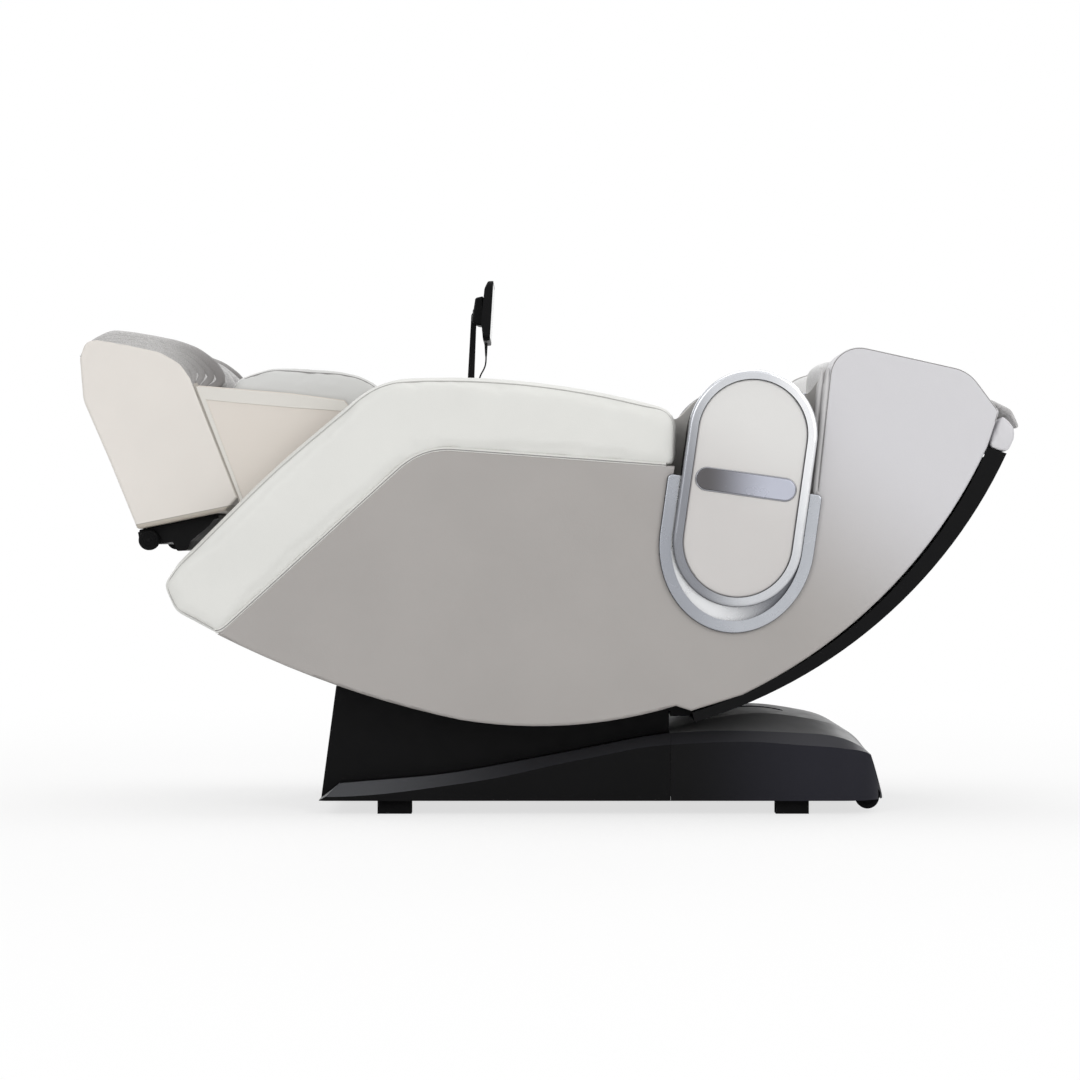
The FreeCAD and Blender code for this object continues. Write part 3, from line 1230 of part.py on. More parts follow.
def tablet_socket():
    """Flanged socket sunk into the pad, bored for the post's spigot."""
    foot = PAD_TOP_AT_POST + LAY_GAP
    flange = upright(SOCKET_R, foot, foot + SOCKET_RISE)
    body = joined([flange, upright(STEM_R, foot - STEM_LENGTH, foot + OVER)])
    top = foot + SOCKET_RISE
    return body.cut(upright(SPIGOT_R + RUN_GAP, top - SPIGOT_LENGTH - OVER, top + OVER))


def upright(r, z0, z1):
    """Round bar along Z on the post's swivel axis."""
    return Part.makeCylinder(r, z1 - z0, V(POST_X, POST_Y, z0))


def tablet_post():
    """Swivelling post whose forked head holds the tablet's knuckle."""
    top = PAD_TOP_AT_POST + LAY_GAP + SOCKET_RISE
    blade = prism(POST_LINE, POST_Y - POST_HALF_Y, POST_Y + POST_HALF_Y)
    fork = TILT_BARREL_HALF + FORK_GAP
    slot = rod(*TILT, FORK_DEPTH, POST_Y - fork, POST_Y + fork)
    pin = rod(*TILT, TILT_PIN_R, POST_Y - POST_HALF_Y, POST_Y + POST_HALF_Y)
    body = joined([blade, upright(POST_FOOT_R, top + RUN_GAP, POST_FOOT_TOP),
                   upright(SPIGOT_R, top - SPIGOT_LENGTH, top + OVER)])
    return joined([body.cut(slot), pin])


def screen_line(margin, start, depth):
    """Outline of a layer behind the tablet's front face, from one depth to another."""
    (x0, z0), (x1, z1) = TABLET_LINE[0][:2], TABLET_LINE[1][:2]
    high = along((x0, z0), (x1, z1), margin)
    low = along((x1, z1), (x0, z0), margin)
    span = hypot(x1 - x0, z1 - z0)
    back = ((z1 - z0) / span, -(x1 - x0) / span)
    ends = [(high, start), (low, start), (low, depth), (high, depth)]
    return [(p[0] + back[0] * d, p[1] + back[1] * d) for p, d in ends]


def tablet_case():
    """Tablet body with its knuckle and the cable's tapered strain relief."""
    body = prism(TABLET_LINE, POST_Y - TABLET_HALF, POST_Y + TABLET_HALF)
    corners = block(2 * POST_X, 0, POST_Y - TABLET_HALF, POST_Y + TABLET_HALF, TABLET_LOW_Z, TABLET_TOP_Z)
    along_x = [e for e in corners.Edges if e.BoundBox.XLength > -POST_X]
    body = body.common(corners.makeFillet(TABLET_CORNER_R, along_x))
    half = TABLET_HALF - SCREEN_MARGIN
    room = prism(screen_line(SCREEN_MARGIN, -OVER, SCREEN_THICK + SCREEN_GAP), POST_Y - half, POST_Y + half)
    y0, y1 = POST_Y - TILT_BARREL_HALF, POST_Y + TILT_BARREL_HALF
    neck = block(TILT[0], NECK_END_X, y0, y1, TILT[1] - NECK_HALF, TILT[1] + NECK_HALF)
    x, z = CABLE_POINTS[0]
    relief = Part.makeCone(RELIEF_END_R, RELIEF_TOP_R, RELIEF_LENGTH, V(x, POST_Y, z))
    body = joined([body.cut(room), rod(*TILT, TILT_BARREL_R, y0, y1), neck, relief])
    return body.cut(rod(*TILT, TILT_PIN_R + RUN_GAP, y0 - OVER, y1 + OVER))


def tablet_screen():
    half = TABLET_HALF - SCREEN_MARGIN - SCREEN_GAP
    return prism(screen_line(SCREEN_MARGIN + SCREEN_GAP, 0, SCREEN_THICK), POST_Y - half, POST_Y + half)


def cable_path():
    """Straight runs joined by tangent arcs, each as large as its runs allow."""
    points = [V(x, POST_Y, z) for x, z in CABLE_POINTS]
    edges = []
    start = points[0]
    for before, here, after in zip(points, points[1:], points[2:]):
        back = before - here
        ahead = after - here
        reach = CABLE_ARC_SHARE * min(back.Length, ahead.Length)
        back.normalize()
        ahead.normalize()
        half = back.getAngle(ahead) / 2
        r = reach * tan(half)
        middle = back + ahead
        middle.normalize()
        bend = here + middle * (r / sin(half) - r)
        edges += [Part.LineSegment(start, here + back * reach).toShape(),
                  Part.Arc(here + back * reach, bend, here + ahead * reach).toShape()]
        start = here + ahead * reach
        print("cable radius", round(r, 1))
    edges.append(Part.LineSegment(start, points[-1]).toShape())
    return Part.Wire(edges)


def tablet_cable():
    path = cable_path()
    x, z = CABLE_POINTS[0]
    section = Part.Wire(Part.makeCircle(CABLE_D / 2, V(x, POST_Y, z), V(0, 0, -1)))
    body = path.makePipeShell([section], True, False)
    section_area = pi * CABLE_D ** 2 / 4
    share = body.Volume / (path.Length * section_area)
    print("cable length", round(path.Length, 1), "volume share", round(share, 4))
    return body


# All the nodes

def save_base():
    save("base_frame", base_frame())
    save("base_feet", base_feet())
    save("front_base_cover", front_base_cover())
    save("rear_base_cover", rear_base_cover())
    save("power_supply", boxed_unit(SUPPLY_X, SUPPLY_HALF, SUPPLY_TOP))
    save("air_pump", boxed_unit(PUMP_X, PUMP_HALF, PUMP_TOP))
    save("power_inlet", power_inlet())
    save("power_switch", power_switch())
    save_pair("transport_wheel", wheel(WHEEL, WHEEL_R, WHEEL_AXLE_R, *WHEEL_Y, WHEEL_EDGE_R))
    save("recline_actuator", recline_actuator())
    save("recline_rod", recline_rod())


def save_body():
    save("pivot_shafts", pivot_shafts())
    save("recline_lever", recline_lever())
    save("seat_frame", seat_frame())
    save("back_frame", back_frame())
    save("frame_bolts", frame_bolts())
    save("seat_cushion", cushion(seat_profile, SEAT_CUSHION_HALF, CUSHION_SIDE_DRAW))
    save("back_cushion", back_cushion())
    save("head_pillow", cushion(pillow_profile, PILLOW_HALF, PILLOW_DRAW))
    save_pair("side_shell", side_shell())
    pad = arm_pad()
    hole = upright(STEM_R + LAY_GAP, PAD_TOP_AT_POST - STEM_LENGTH - LAY_GAP, PAD_TOP_AT_POST + 2 * WALL)
    save("arm_pad_right", pad.cut(hole))
    save("arm_pad_left", mirrored(pad))
    save("arm_liners", both(arm_liner()))
    save("shoulder_units", both(shoulder_unit()))
    save("capsule_rings", both(capsule_ring()))
    save("capsule_faces", both(capsule_face()))
    save("badge_plates", both(badge_plate()))
    save("side_trims", both(side_trim()))
    save("shoulder_pads", both(side_pad(SHOULDER_PAD_LINE)))
    save("head_side_pads", both(side_pad(HEAD_PAD_LINE)))
    save("speakers", both(speaker()))
    save("back_cover", back_cover())
    save("back_lip", back_lip())
    save("head_flap", head_flap())


def save_leg_rest():
    save("legrest_actuator", legrest_actuator())
    save("legrest_rod", legrest_rod())
    save("legrest_frame", legrest_frame())
    save("calf_housing", calf_housing())
    save("calf_cushion", calf_cushion())
    save("foot_housing", foot_housing())
    save("foot_liner", foot_liner())
    save("foot_rails", foot_rails())
    save("foot_base", foot_base())
    save_pair("foot_wheel", foot_wheel())


def save_mechanisms():
    save("massage_carriage", massage_carriage())
    save_pair("kneading_arm", kneading_arm())
    save_pair("lower_roller", massage_roller(-ROLLER_SPREAD))
    save_pair("upper_roller", massage_roller(ROLLER_SPREAD))
    save("tablet_socket", tablet_socket())
    save("tablet_post", tablet_post())
    save("tablet_case", tablet_case())
    save("tablet_screen", tablet_screen())
    save("tablet_cable", tablet_cable())


save_base()
save_body()
save_leg_rest()
save_mechanisms()
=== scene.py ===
from math import cos, exp, pi, radians, sin

import bmesh
import bpy
from mathutils import Matrix, Vector
from mathutils.bvhtree import BVHTree


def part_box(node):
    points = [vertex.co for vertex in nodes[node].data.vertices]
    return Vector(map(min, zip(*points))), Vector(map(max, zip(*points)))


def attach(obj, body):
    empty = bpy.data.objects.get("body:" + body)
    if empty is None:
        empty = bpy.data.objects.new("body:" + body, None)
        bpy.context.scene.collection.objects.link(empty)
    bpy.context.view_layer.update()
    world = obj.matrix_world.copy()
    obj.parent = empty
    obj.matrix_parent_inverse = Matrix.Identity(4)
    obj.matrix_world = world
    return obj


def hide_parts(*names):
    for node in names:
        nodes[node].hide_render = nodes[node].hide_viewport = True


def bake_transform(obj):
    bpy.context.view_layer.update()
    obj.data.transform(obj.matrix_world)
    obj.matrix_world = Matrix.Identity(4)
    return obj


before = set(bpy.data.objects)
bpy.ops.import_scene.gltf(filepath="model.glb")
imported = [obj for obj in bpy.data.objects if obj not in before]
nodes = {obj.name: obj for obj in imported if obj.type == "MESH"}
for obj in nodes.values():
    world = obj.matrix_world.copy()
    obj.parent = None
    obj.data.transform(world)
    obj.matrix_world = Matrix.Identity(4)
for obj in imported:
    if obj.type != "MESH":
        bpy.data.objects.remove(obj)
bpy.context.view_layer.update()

# The chair reclined on its base, in metres: +X to the head, +Z up, its left side at -Y.

scene = bpy.context.scene

# Places taken over from the construction, as (x, z) where they lie in a side view
SIDE_FACE = 0.400
CALF_FACE = 0.262
KNEE = (-0.3854, 0.7178)
SEAT_SLOPE = radians(-36.6)
HIP = (0.1122, 0.3624)
BACK_SLOPE = radians(31.94)
LEG_PIVOT = (-0.448, 0.699)
LEG_SLOPE = radians(20.1)
CAPSULE = (0.391, 0.659)
CAPSULE_TILT = radians(8)
FACE_LEVEL = 0.425
SPEAKER = (0.581, 0.850)
SPEAKER_FACE = 0.2222
SPEAKER_R = 0.034
TABLET_Y = 0.330


def srgb(red, green, blue):
    """An 8-bit screen colour as the linear colour that a shader takes."""
    shares = [c / 255 for c in (red, green, blue)]
    return tuple(c / 12.92 if c <= 0.04 else ((c + 0.055) / 1.055) ** 2.4 for c in shares)


# Mesh helpers

def new_object(name, data):
    obj = bpy.data.objects.new(name, data)
    scene.collection.objects.link(obj)
    return obj


def applied(obj):
    """Turns an object's modifiers into plain mesh."""
    graph = bpy.context.evaluated_depsgraph_get()
    mesh = bpy.data.meshes.new_from_object(obj.evaluated_get(graph))
    obj.modifiers.clear()
    obj.data = mesh
    return obj


def finished(obj, body, material, smooth=True):
    """Dresses a new piece in one of MATERIALS and sets it on its body."""
    obj.data.materials.clear()
    obj.data.materials.append(MATERIALS[material])
    if smooth:
        obj.data.polygons.foreach_set("use_smooth", [True] * len(obj.data.polygons))
    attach(obj, body)
    return obj


def mesh_from(name, vertices, faces):
    mesh = bpy.data.meshes.new(name)
    mesh.from_pydata(vertices, [], faces)
    mesh.update()
    return new_object(name, mesh)


def moved_by(obj, shift):
    """Moves each vertex by shift(place, normal)."""
    mesh = obj.data
    normals = [v.normal.copy() for v in mesh.vertices]
    for vertex, normal in zip(mesh.vertices, normals):
        vertex.co += shift(vertex.co.copy(), normal)
    mesh.update()


def mirrored_copy(obj, name):
    """The same mesh on the other side of the middle plane."""
    mesh = obj.data.copy()
    mesh.transform(Matrix.Diagonal((1, -1, 1, 1)))
    mesh.flip_normals()
    return new_object(name, mesh)


def leg_point(s, t):
    """Leg-rest coordinates, s down the leg and t square to it, as (x, z)."""
    c, n = cos(LEG_SLOPE), sin(LEG_SLOPE)
    return (LEG_PIVOT[0] - c * s - n * t, LEG_PIVOT[1] - n * s + c * t)


def leg_place(place):
    """A point's leg-rest coordinates (s, t)."""
    c, n = cos(LEG_SLOPE), sin(LEG_SLOPE)
    dx, dz = place.x - LEG_PIVOT[0], place.z - LEG_PIVOT[1]
    return (-c * dx - n * dz, -n * dx + c * dz)


def run_along(place, start, slope):
    """Distance of a point along a sloping surface, and its height over it."""
    dx, dz = place.x - start[0], place.z - start[1]
    return (cos(slope) * dx + sin(slope) * dz, cos(slope) * dz - sin(slope) * dx)


def capsule_point(u, v, y):
    """Capsule coordinates, u across and v along its long axis, in space."""
    c, n = cos(CAPSULE_TILT), sin(CAPSULE_TILT)
    return Vector((CAPSULE[0] + c * u + n * v, y, CAPSULE[1] - n * u + c * v))


# Outlines cut from the construction

WELD = 1e-5
STEP = 0.006


def section(node, y):
    """Closed outlines of a node in the plane at y, the longest first."""
    bm = bmesh.new()
    bm.from_mesh(nodes[node].data)
    bmesh.ops.remove_doubles(bm, verts=bm.verts, dist=WELD)
    everything = bm.verts[:] + bm.edges[:] + bm.faces[:]
    cut = bmesh.ops.bisect_plane(bm, geom=everything, plane_co=(0, y, 0), plane_no=(0, 1, 0))
    edges = [g for g in cut["geom_cut"] if isinstance(g, bmesh.types.BMEdge)]
    bm.edges.index_update()
    waiting = {e.index for e in edges}
    loops = []
    for edge in edges:
        if edge.index not in waiting:
            continue
        waiting.discard(edge.index)
        chain = [edge.verts[0], edge.verts[1]]
        following = edge
        while following:
            following = next((e for e in chain[-1].link_edges if e.index in waiting), None)
            if following:
                waiting.discard(following.index)
                chain.append(following.other_vert(chain[-1]))
        loops.append([v.co.copy() for v in chain])
    bm.free()
    return sorted(loops, key=length_of, reverse=True)


def length_of(points):
    return sum((b - a).length for a, b in zip(points, points[1:]))


def resampled(points, step=STEP):
    """Evenly spaced points along a line of points."""
    count = max(2, round(length_of(points) / step) + 1)
    spacing = length_of(points) / (count - 1)
    placed = [points[0].copy()]
    travelled = 0.0
    for a, b in zip(points, points[1:]):
        edge = (b - a).length
        while edge > 0 and travelled + edge >= spacing * len(placed) and len(placed) < count:
            placed.append(a.lerp(b, (spacing * len(placed) - travelled) / edge))
        travelled += edge
    return placed


def longest_run(loop, keep):
    """The longest stretch of a closed outline whose points all pass the test."""
    points = resampled(loop)[:-1]
    kept = [keep(p) for p in points]
    if all(kept):
        return points + [points[0]]
    start = kept.index(False)
    best, current = [], []
    for i in range(len(points)):
        j = (start + i) % len(points)
        current = current + [points[j]] if kept[j] else []
        best = max(best, current, key=len)
    return best


def surface_of(obj):
    graph = bpy.context.evaluated_depsgraph_get()
    return BVHTree.FromObject(obj, graph)


def laid_on(points, surface, lift):
    """Points brought to the nearest place on a surface and lifted off it a little."""
    placed = []
    for point in points:
        place, normal, _, _ = surface.find_nearest(point)
        placed.append(place + normal * lift)
    return placed


# How often each line is smoothed
ROUNDS = {"wing": 2, "pad": 8, "seam": 4, "calf": 12, "side_pads": 3, "cushion": 4, "fold_top": 4,
          "fold_rim": 8}


def smoothed(points, line):
    """The line of points, with its steps evened out as often as ROUNDS says."""
    for _ in range(ROUNDS[line]):
        inner = [(a + b * 2 + c) / 4 for a, b, c in zip(points, points[1:], points[2:])]
        points = [points[0]] + inner + [points[-1]]
    return points


def mirrored(points):
    return [Vector((p.x, -p.y, p.z)) for p in points]


def pair(path):
    """A line and its mirror image on the other side."""
    return [path, mirrored(path)]


def circle(x, y, z, r, count):
    """Points round a circle in a plane square to Y."""
    turns = [2 * pi * k / count for k in range(count)]
    return [Vector((x + r * cos(a), y, z + r * sin(a))) for a in turns]


TUBE_ROUNDNESS = 2


def tubes(name, paths, r, closed=False, widths=None):
    """Round tubes along paths, as one mesh. widths scale the radius point by point."""
    curve = bpy.data.curves.new(name, "CURVE")
    curve.dimensions = "3D"
    curve.bevel_depth = r
    curve.bevel_resolution = TUBE_ROUNDNESS
    curve.use_fill_caps = True
    for path in paths:
        spline = curve.splines.new("POLY")
        spline.points.add(len(path) - 1)
        for i, (point, place) in enumerate(zip(spline.points, path)):
            point.co = (*place, 1)
            point.radius = widths[i] if widths else 1.0
        spline.use_cyclic_u = closed
    guide = new_object(name + "_guide", curve)
    graph = bpy.context.evaluated_depsgraph_get()
    mesh = bpy.data.meshes.new_from_object(guide.evaluated_get(graph))
    bpy.data.objects.remove(guide)
    return new_object(name, mesh)


BEVEL_SEGMENTS = 3


def rounded_slab(name, outline, y0, y1, bevel):
    """Slab between two planes square to Y, its edges rounded. outline is (x, z) corners."""
    count = len(outline)
    vertices = [(x, y, z) for y in (y0, y1) for x, z in outline]
    sides = [(i, (i + 1) % count, (i + 1) % count + count, i + count) for i in range(count)]
    slab = mesh_from(name, vertices, [tuple(range(count))[::-1], tuple(range(count, 2 * count))] + sides)
    bm = bmesh.new()
    bm.from_mesh(slab.data)
    bmesh.ops.recalc_face_normals(bm, faces=bm.faces)
    bm.to_mesh(slab.data)
    bm.free()
    rounding = slab.modifiers.new("rounding", "BEVEL")
    rounding.width = bevel
    rounding.segments = BEVEL_SEGMENTS
    rounding.limit_method = "ANGLE"
    return applied(slab)


def stadium(half_run, r, count=24):
    """Points round a lying stadium outline, in capsule coordinates."""
    ends = []
    for centre, turn in ((half_run, -pi / 2), (-half_run, pi / 2)):
        for i in range(count + 1):
            a = turn + pi * i / count
            ends.append((centre + r * cos(a), r * sin(a)))
    return ends


# Materials

# Each grain's scale, strength and depth
GRAINS = {
    "leather": (900.0, 0.22, 0.0005),
    "moulded": (1400.0, 0.06, 0.0002),
    "painted": (500.0, 0.10, 0.0003),
    "rubber": (700.0, 0.25, 0.0005),
    "polished": (700.0, 0.02, 0.00005),
    "satin": (150.0, 0.03, 0.00005),
}
LEATHER_CELLS = 0.7
KNIT_PITCH = 1500.0
KNIT_DIRECTIONS = ((1, 0, 1), (-1, 0, 1), (0, 1, 0.35))
KNIT_STRENGTH = 0.35
KNIT_DEPTH = 0.0006
# Each noise's scale, and the two of its values between which the change takes place
TONE_NOISE = (5.0, 0.30, 0.70)
GLOSS_NOISE = (30.0, 0.25, 0.75)
FLECK_NOISE = (900.0, 0.35, 0.65)


class Nodes:
    """Short calls for a material's nodes."""

    def __init__(self, name):
        self.material = bpy.data.materials.new(name)
        self.material.use_nodes = True
        self.tree = self.material.node_tree
        self.shader = self.tree.nodes["Principled BSDF"]
        self.place = self.add("ShaderNodeTexCoord").outputs["Object"]

    def add(self, kind, inputs=(), **values):
        node = self.tree.nodes.new(kind)
        for key, value in values.items():
            setattr(node, key, value)
        for key, value in dict(inputs).items():
            if isinstance(value, bpy.types.NodeSocket):
                self.tree.links.new(value, node.inputs[key])
            else:
                node.inputs[key].default_value = value
        return node

    def noise(self, scale, detail=3.0):
        inputs = {"Vector": self.place, "Scale": scale, "Detail": detail}
        return self.add("ShaderNodeTexNoise", inputs).outputs["Fac"]

    def ranged(self, value, low, high, to_low=0.0, to_high=1.0):
        """A value's smooth change from to_low to to_high, between low and high."""
        inputs = {"Value": value, "From Min": low, "From Max": high, "To Min": to_low, "To Max": to_high}
        return self.add("ShaderNodeMapRange", inputs, interpolation_type="SMOOTHSTEP").outputs["Result"]

    def mixed(self, factor, first, second):
        node = self.add("ShaderNodeMix", data_type="RGBA")
        for socket, value in ((0, factor), (6, first), (7, second)):
            if isinstance(value, bpy.types.NodeSocket):
                self.tree.links.new(value, node.inputs[socket])
            else:
                node.inputs[socket].default_value = value if socket == 0 else (*value, 1)
        return node.outputs[2]

    def maths(self, operation, first, second=0.0):
        return self.add("ShaderNodeMath", {0: first, 1: second}, operation=operation).outputs[0]

    def vectors(self, operation, first, second):
        return self.add("ShaderNodeVectorMath", {0: first, 1: second}, operation=operation).outputs["Value"]

    def along(self, direction):
        """Distance of the shaded point along a direction of the object."""
        return self.vectors("DOT_PRODUCT", self.place, direction)

    def fade(self, direction, span):
        """From 0 to 1 along a direction, between the two distances of the span."""
        return self.ranged(self.along(direction), *span)

    def facing(self, direction):
        """How far the surface faces a direction, from -1 to 1."""
        return self.vectors("DOT_PRODUCT", self.add("ShaderNodeNewGeometry").outputs["Normal"], direction)

    def sideways(self, span):
        """From 0 to 1 as the surface faces one side or the other, between the two shares of the span."""
        return self.ranged(self.maths("ABSOLUTE", self.facing(ACROSS)), *span)

    def connect(self, value, key):
        self.tree.links.new(value, self.shader.inputs[key])

    def bump(self, height, strength, distance):
        inputs = {"Height": height, "Strength": strength, "Distance": distance}
        self.connect(self.add("ShaderNodeBump", inputs).outputs["Normal"], "Normal")


def dressed(name, colour, rough, grain, tone=0.05, rough_spread=0.06, paint=None, **constants):
    """A material with uneven tone and gloss and a fine grain. paint may change its colour."""
    made = Nodes(name)
    base = srgb(*colour)
    dark = tuple(c * (1 - tone) for c in base)
    light = tuple(min(1.0, c * (1 + tone)) for c in base)
    scale, *span = TONE_NOISE
    shade = made.mixed(made.ranged(made.noise(scale), *span), dark, light)
    if paint:
        shade = paint(made, shade)
    made.connect(shade, "Base Color")
    scale, *span = GLOSS_NOISE
    gloss = made.ranged(made.noise(scale, 4.0), *span, rough - rough_spread, rough + rough_spread)
    made.connect(gloss, "Roughness")
    for key, value in constants.items():
        made.shader.inputs[key.replace("_", " ")].default_value = value
    if grain == "knit":
        knit_bump(made)
    else:
        scale, strength, depth = GRAINS[grain]
        height = made.noise(scale, 2.0)
        if grain == "leather":
            inputs = {"Vector": made.place, "Scale": scale * LEATHER_CELLS}
            cells = made.add("ShaderNodeTexVoronoi", inputs, feature="SMOOTH_F1").outputs["Distance"]
            height = made.maths("ADD", height, cells)
        made.bump(height, strength, depth)
    return made.material


def knit_bump(made):
    """Ribs of crossing yarn."""
    waves = []
    for direction in KNIT_DIRECTIONS:
        run = made.maths("MULTIPLY", made.along(direction), KNIT_PITCH)
        waves.append(made.maths("SINE", run))
    crossed = made.maths("MULTIPLY", waves[0], waves[1])
    ribs = made.maths("MULTIPLY", waves[2], waves[2])
    made.bump(made.maths("ADD", crossed, ribs), KNIT_STRENGTH, KNIT_DEPTH)


def melange(dark):
    """Yarn of two tones."""
    def paint(made, shade):
        scale, *span = FLECK_NOISE
        return made.mixed(made.ranged(made.noise(scale, 1.0), *span), srgb(*dark), shade)
    return paint


# Paints: how a material's colour changes over its piece; several of them paint light, shade, highlights or
# reflections into it. A span holds the two distances, or the two shares of facing, between which one colour
# goes over into the other.

HEADWARD = (1, 0, 0)
ACROSS = (0, 1, 0)
UPWARD = (0, 0, 1)
# Where painted shade darkens the knit folds towards the calves
FOLD_SHADE_SPAN = (-0.82, -0.66)
# Where the badge's painted reflection goes from dark to light
BADGE_REFLECTION_SPAN = (0.31, 0.45)
# The slanted band of the base covers, which gets painted light, darkest in the middle
BAND_HALF = 0.3002
BAND_EDGE = 0.001
BAND_SLANT = (0.15, 0.30)
FRONT_BAND_SPAN = (-0.42, -0.02)
# Where the rear cover's painted highlight and painted top light change
REAR_HIGHLIGHT_SPAN = (0.25, 0.56)
TOP_LIGHT_FACING = (0.70, 0.85)
PAINTED_BAND_MIDDLE = (46, 46, 49)
# Where the ring's painted reflection changes, and which walls get painted shade
RING_DIRECTION = (1, 0, 0.15)
RING_FRONT = (0.36, 0.47)
RING_REAR = (0.55, 0.63)
RING_WALL_SHADE_FACING = (0.10, 0.45)
# Where the trim's painted highlight, painted reflection and painted edge shade change
TRIM_DIRECTION = (1, 0, 0.25)
DISH_HIGHLIGHT_SPAN = (0.42, 0.57)
TRIM_FACE_REFLECTION_SPAN = (0.36, 0.50)
TRIM_EDGE_SHADE_FACING = (0.45, 0.85)
DISH_LEVEL = 0.3865
DISH_EDGE = 0.0008
LIP_SLANT = 0.150
LIP_SPAN = (-0.0312, -0.0306)
LIP_LINE_SPAN = (-0.0306, -0.0292)


def faded(direction, span, end):
    """A paint that goes over into the end colour along a direction."""
    def paint(made, shade):
        return made.mixed(made.fade(direction, span), shade, srgb(*end))
    return paint


def fold_shade_paint(made, shade):
    """Two-toned yarn, darkened towards the calves by painted shade."""
    yarn = melange((176, 174, 173))(made, shade)
    return faded(HEADWARD, FOLD_SHADE_SPAN, (126, 123, 122))(made, yarn)


def badge_reflection_paint(made, shade):
    """Painted reflection, dark at the feet's end to light at the head's end."""
    return made.mixed(made.fade(HEADWARD, BADGE_REFLECTION_SPAN), srgb(92, 90, 92), srgb(190, 193, 206))


def band_share(made):
    """The slanted band between a base cover's skirt and its top."""
    side = made.maths("ABSOLUTE", made.along(ACROSS))
    slant = made.ranged(made.facing(UPWARD), *BAND_SLANT)
    return made.maths("MULTIPLY", made.ranged(side, BAND_HALF, BAND_HALF + BAND_EDGE), slant)


def pedestal_light_paint(made, shade):
    """Painted light on the slanted band, as it catches the light from above: it greys towards the feet."""
    band = made.mixed(made.fade(HEADWARD, FRONT_BAND_SPAN), srgb(86, 87, 90), srgb(*PAINTED_BAND_MIDDLE))
    return made.mixed(band_share(made), shade, band)


def crown_light_paint(made, shade):
    """Painted light: a grey top and band where the light from above falls, over black sides that a painted
    highlight greys towards the rear.
    """
    run = made.fade(HEADWARD, REAR_HIGHLIGHT_SPAN)
    sides = made.mixed(run, srgb(12, 12, 13), srgb(38, 38, 45))
    topped = made.mixed(made.ranged(made.facing(UPWARD), *TOP_LIGHT_FACING), sides, shade)
    band = made.mixed(run, srgb(*PAINTED_BAND_MIDDLE), srgb(80, 80, 84))
    return made.mixed(band_share(made), topped, band)


def ring_reflection_paint(made, shade):
    """Painted reflection, darker at its feet side and brighter at its head side, and painted shade on its
    dark walls.
    """
    run = made.along(RING_DIRECTION)
    front = made.mixed(made.ranged(run, *RING_FRONT), srgb(140, 142, 148), shade)
    whole = made.mixed(made.ranged(run, *RING_REAR), front, srgb(238, 239, 241))
    return made.mixed(made.sideways(RING_WALL_SHADE_FACING), srgb(96, 97, 102), whole)


def trim_light_paint(made, shade):
    """Flat band round a polished dish. The dish has a painted highlight, bright at one end and dark at the
    other, the band a painted reflection that brightens along it, and each edge painted shade as a dark
    line.
    """
    depth = made.maths("ABSOLUTE", made.along(ACROSS))
    run = made.along(TRIM_DIRECTION)
    dish = made.mixed(made.ranged(run, *DISH_HIGHLIGHT_SPAN), srgb(240, 241, 243), srgb(124, 126, 132))
    face = made.mixed(made.ranged(run, *TRIM_FACE_REFLECTION_SPAN), srgb(160, 163, 170), shade)
    band = made.mixed(made.sideways(TRIM_EDGE_SHADE_FACING), srgb(72, 73, 78), face)
    return made.mixed(made.ranged(depth, DISH_LEVEL, DISH_LEVEL + DISH_EDGE), dish, band)


def foot_paint(made, shade):
    """Beige lip along the sole of the foot shell, with a darker line above it."""
    c, n = cos(LEG_SLOPE), sin(LEG_SLOPE)
    t = made.maths("SUBTRACT", made.along((-n, 0, c)), LEG_PIVOT[1] * c - LEG_PIVOT[0] * n)
    s = made.maths("ADD", made.along((-c, 0, -n)), LEG_PIVOT[0] * c + LEG_PIVOT[1] * n)
    edge = made.maths("SUBTRACT", t, made.maths("MULTIPLY", s, LIP_SLANT))
    lip = made.ranged(edge, *LIP_SPAN)
    line = made.ranged(edge, *LIP_LINE_SPAN)
    lined = made.mixed(lip, srgb(182, 175, 164), srgb(140, 136, 130))
    return made.mixed(line, lined, shade)


# The capsule's face, the calf panel and the shell's wing are painted paler at one end: painted light, where
# more of the light falls
FACE_LIGHT_FADE = faded((0.5, 0, 1), (0.78, 1.02), (222, 221, 219))
LEG_LIGHT_FADE = faded((-0.85, 0, 0.5), (0.70, 0.86), (220, 213, 205))
SHELL_LIGHT_FADE = faded((0.6, 0, 0.8), (0.60, 1.02), (209, 208, 211))

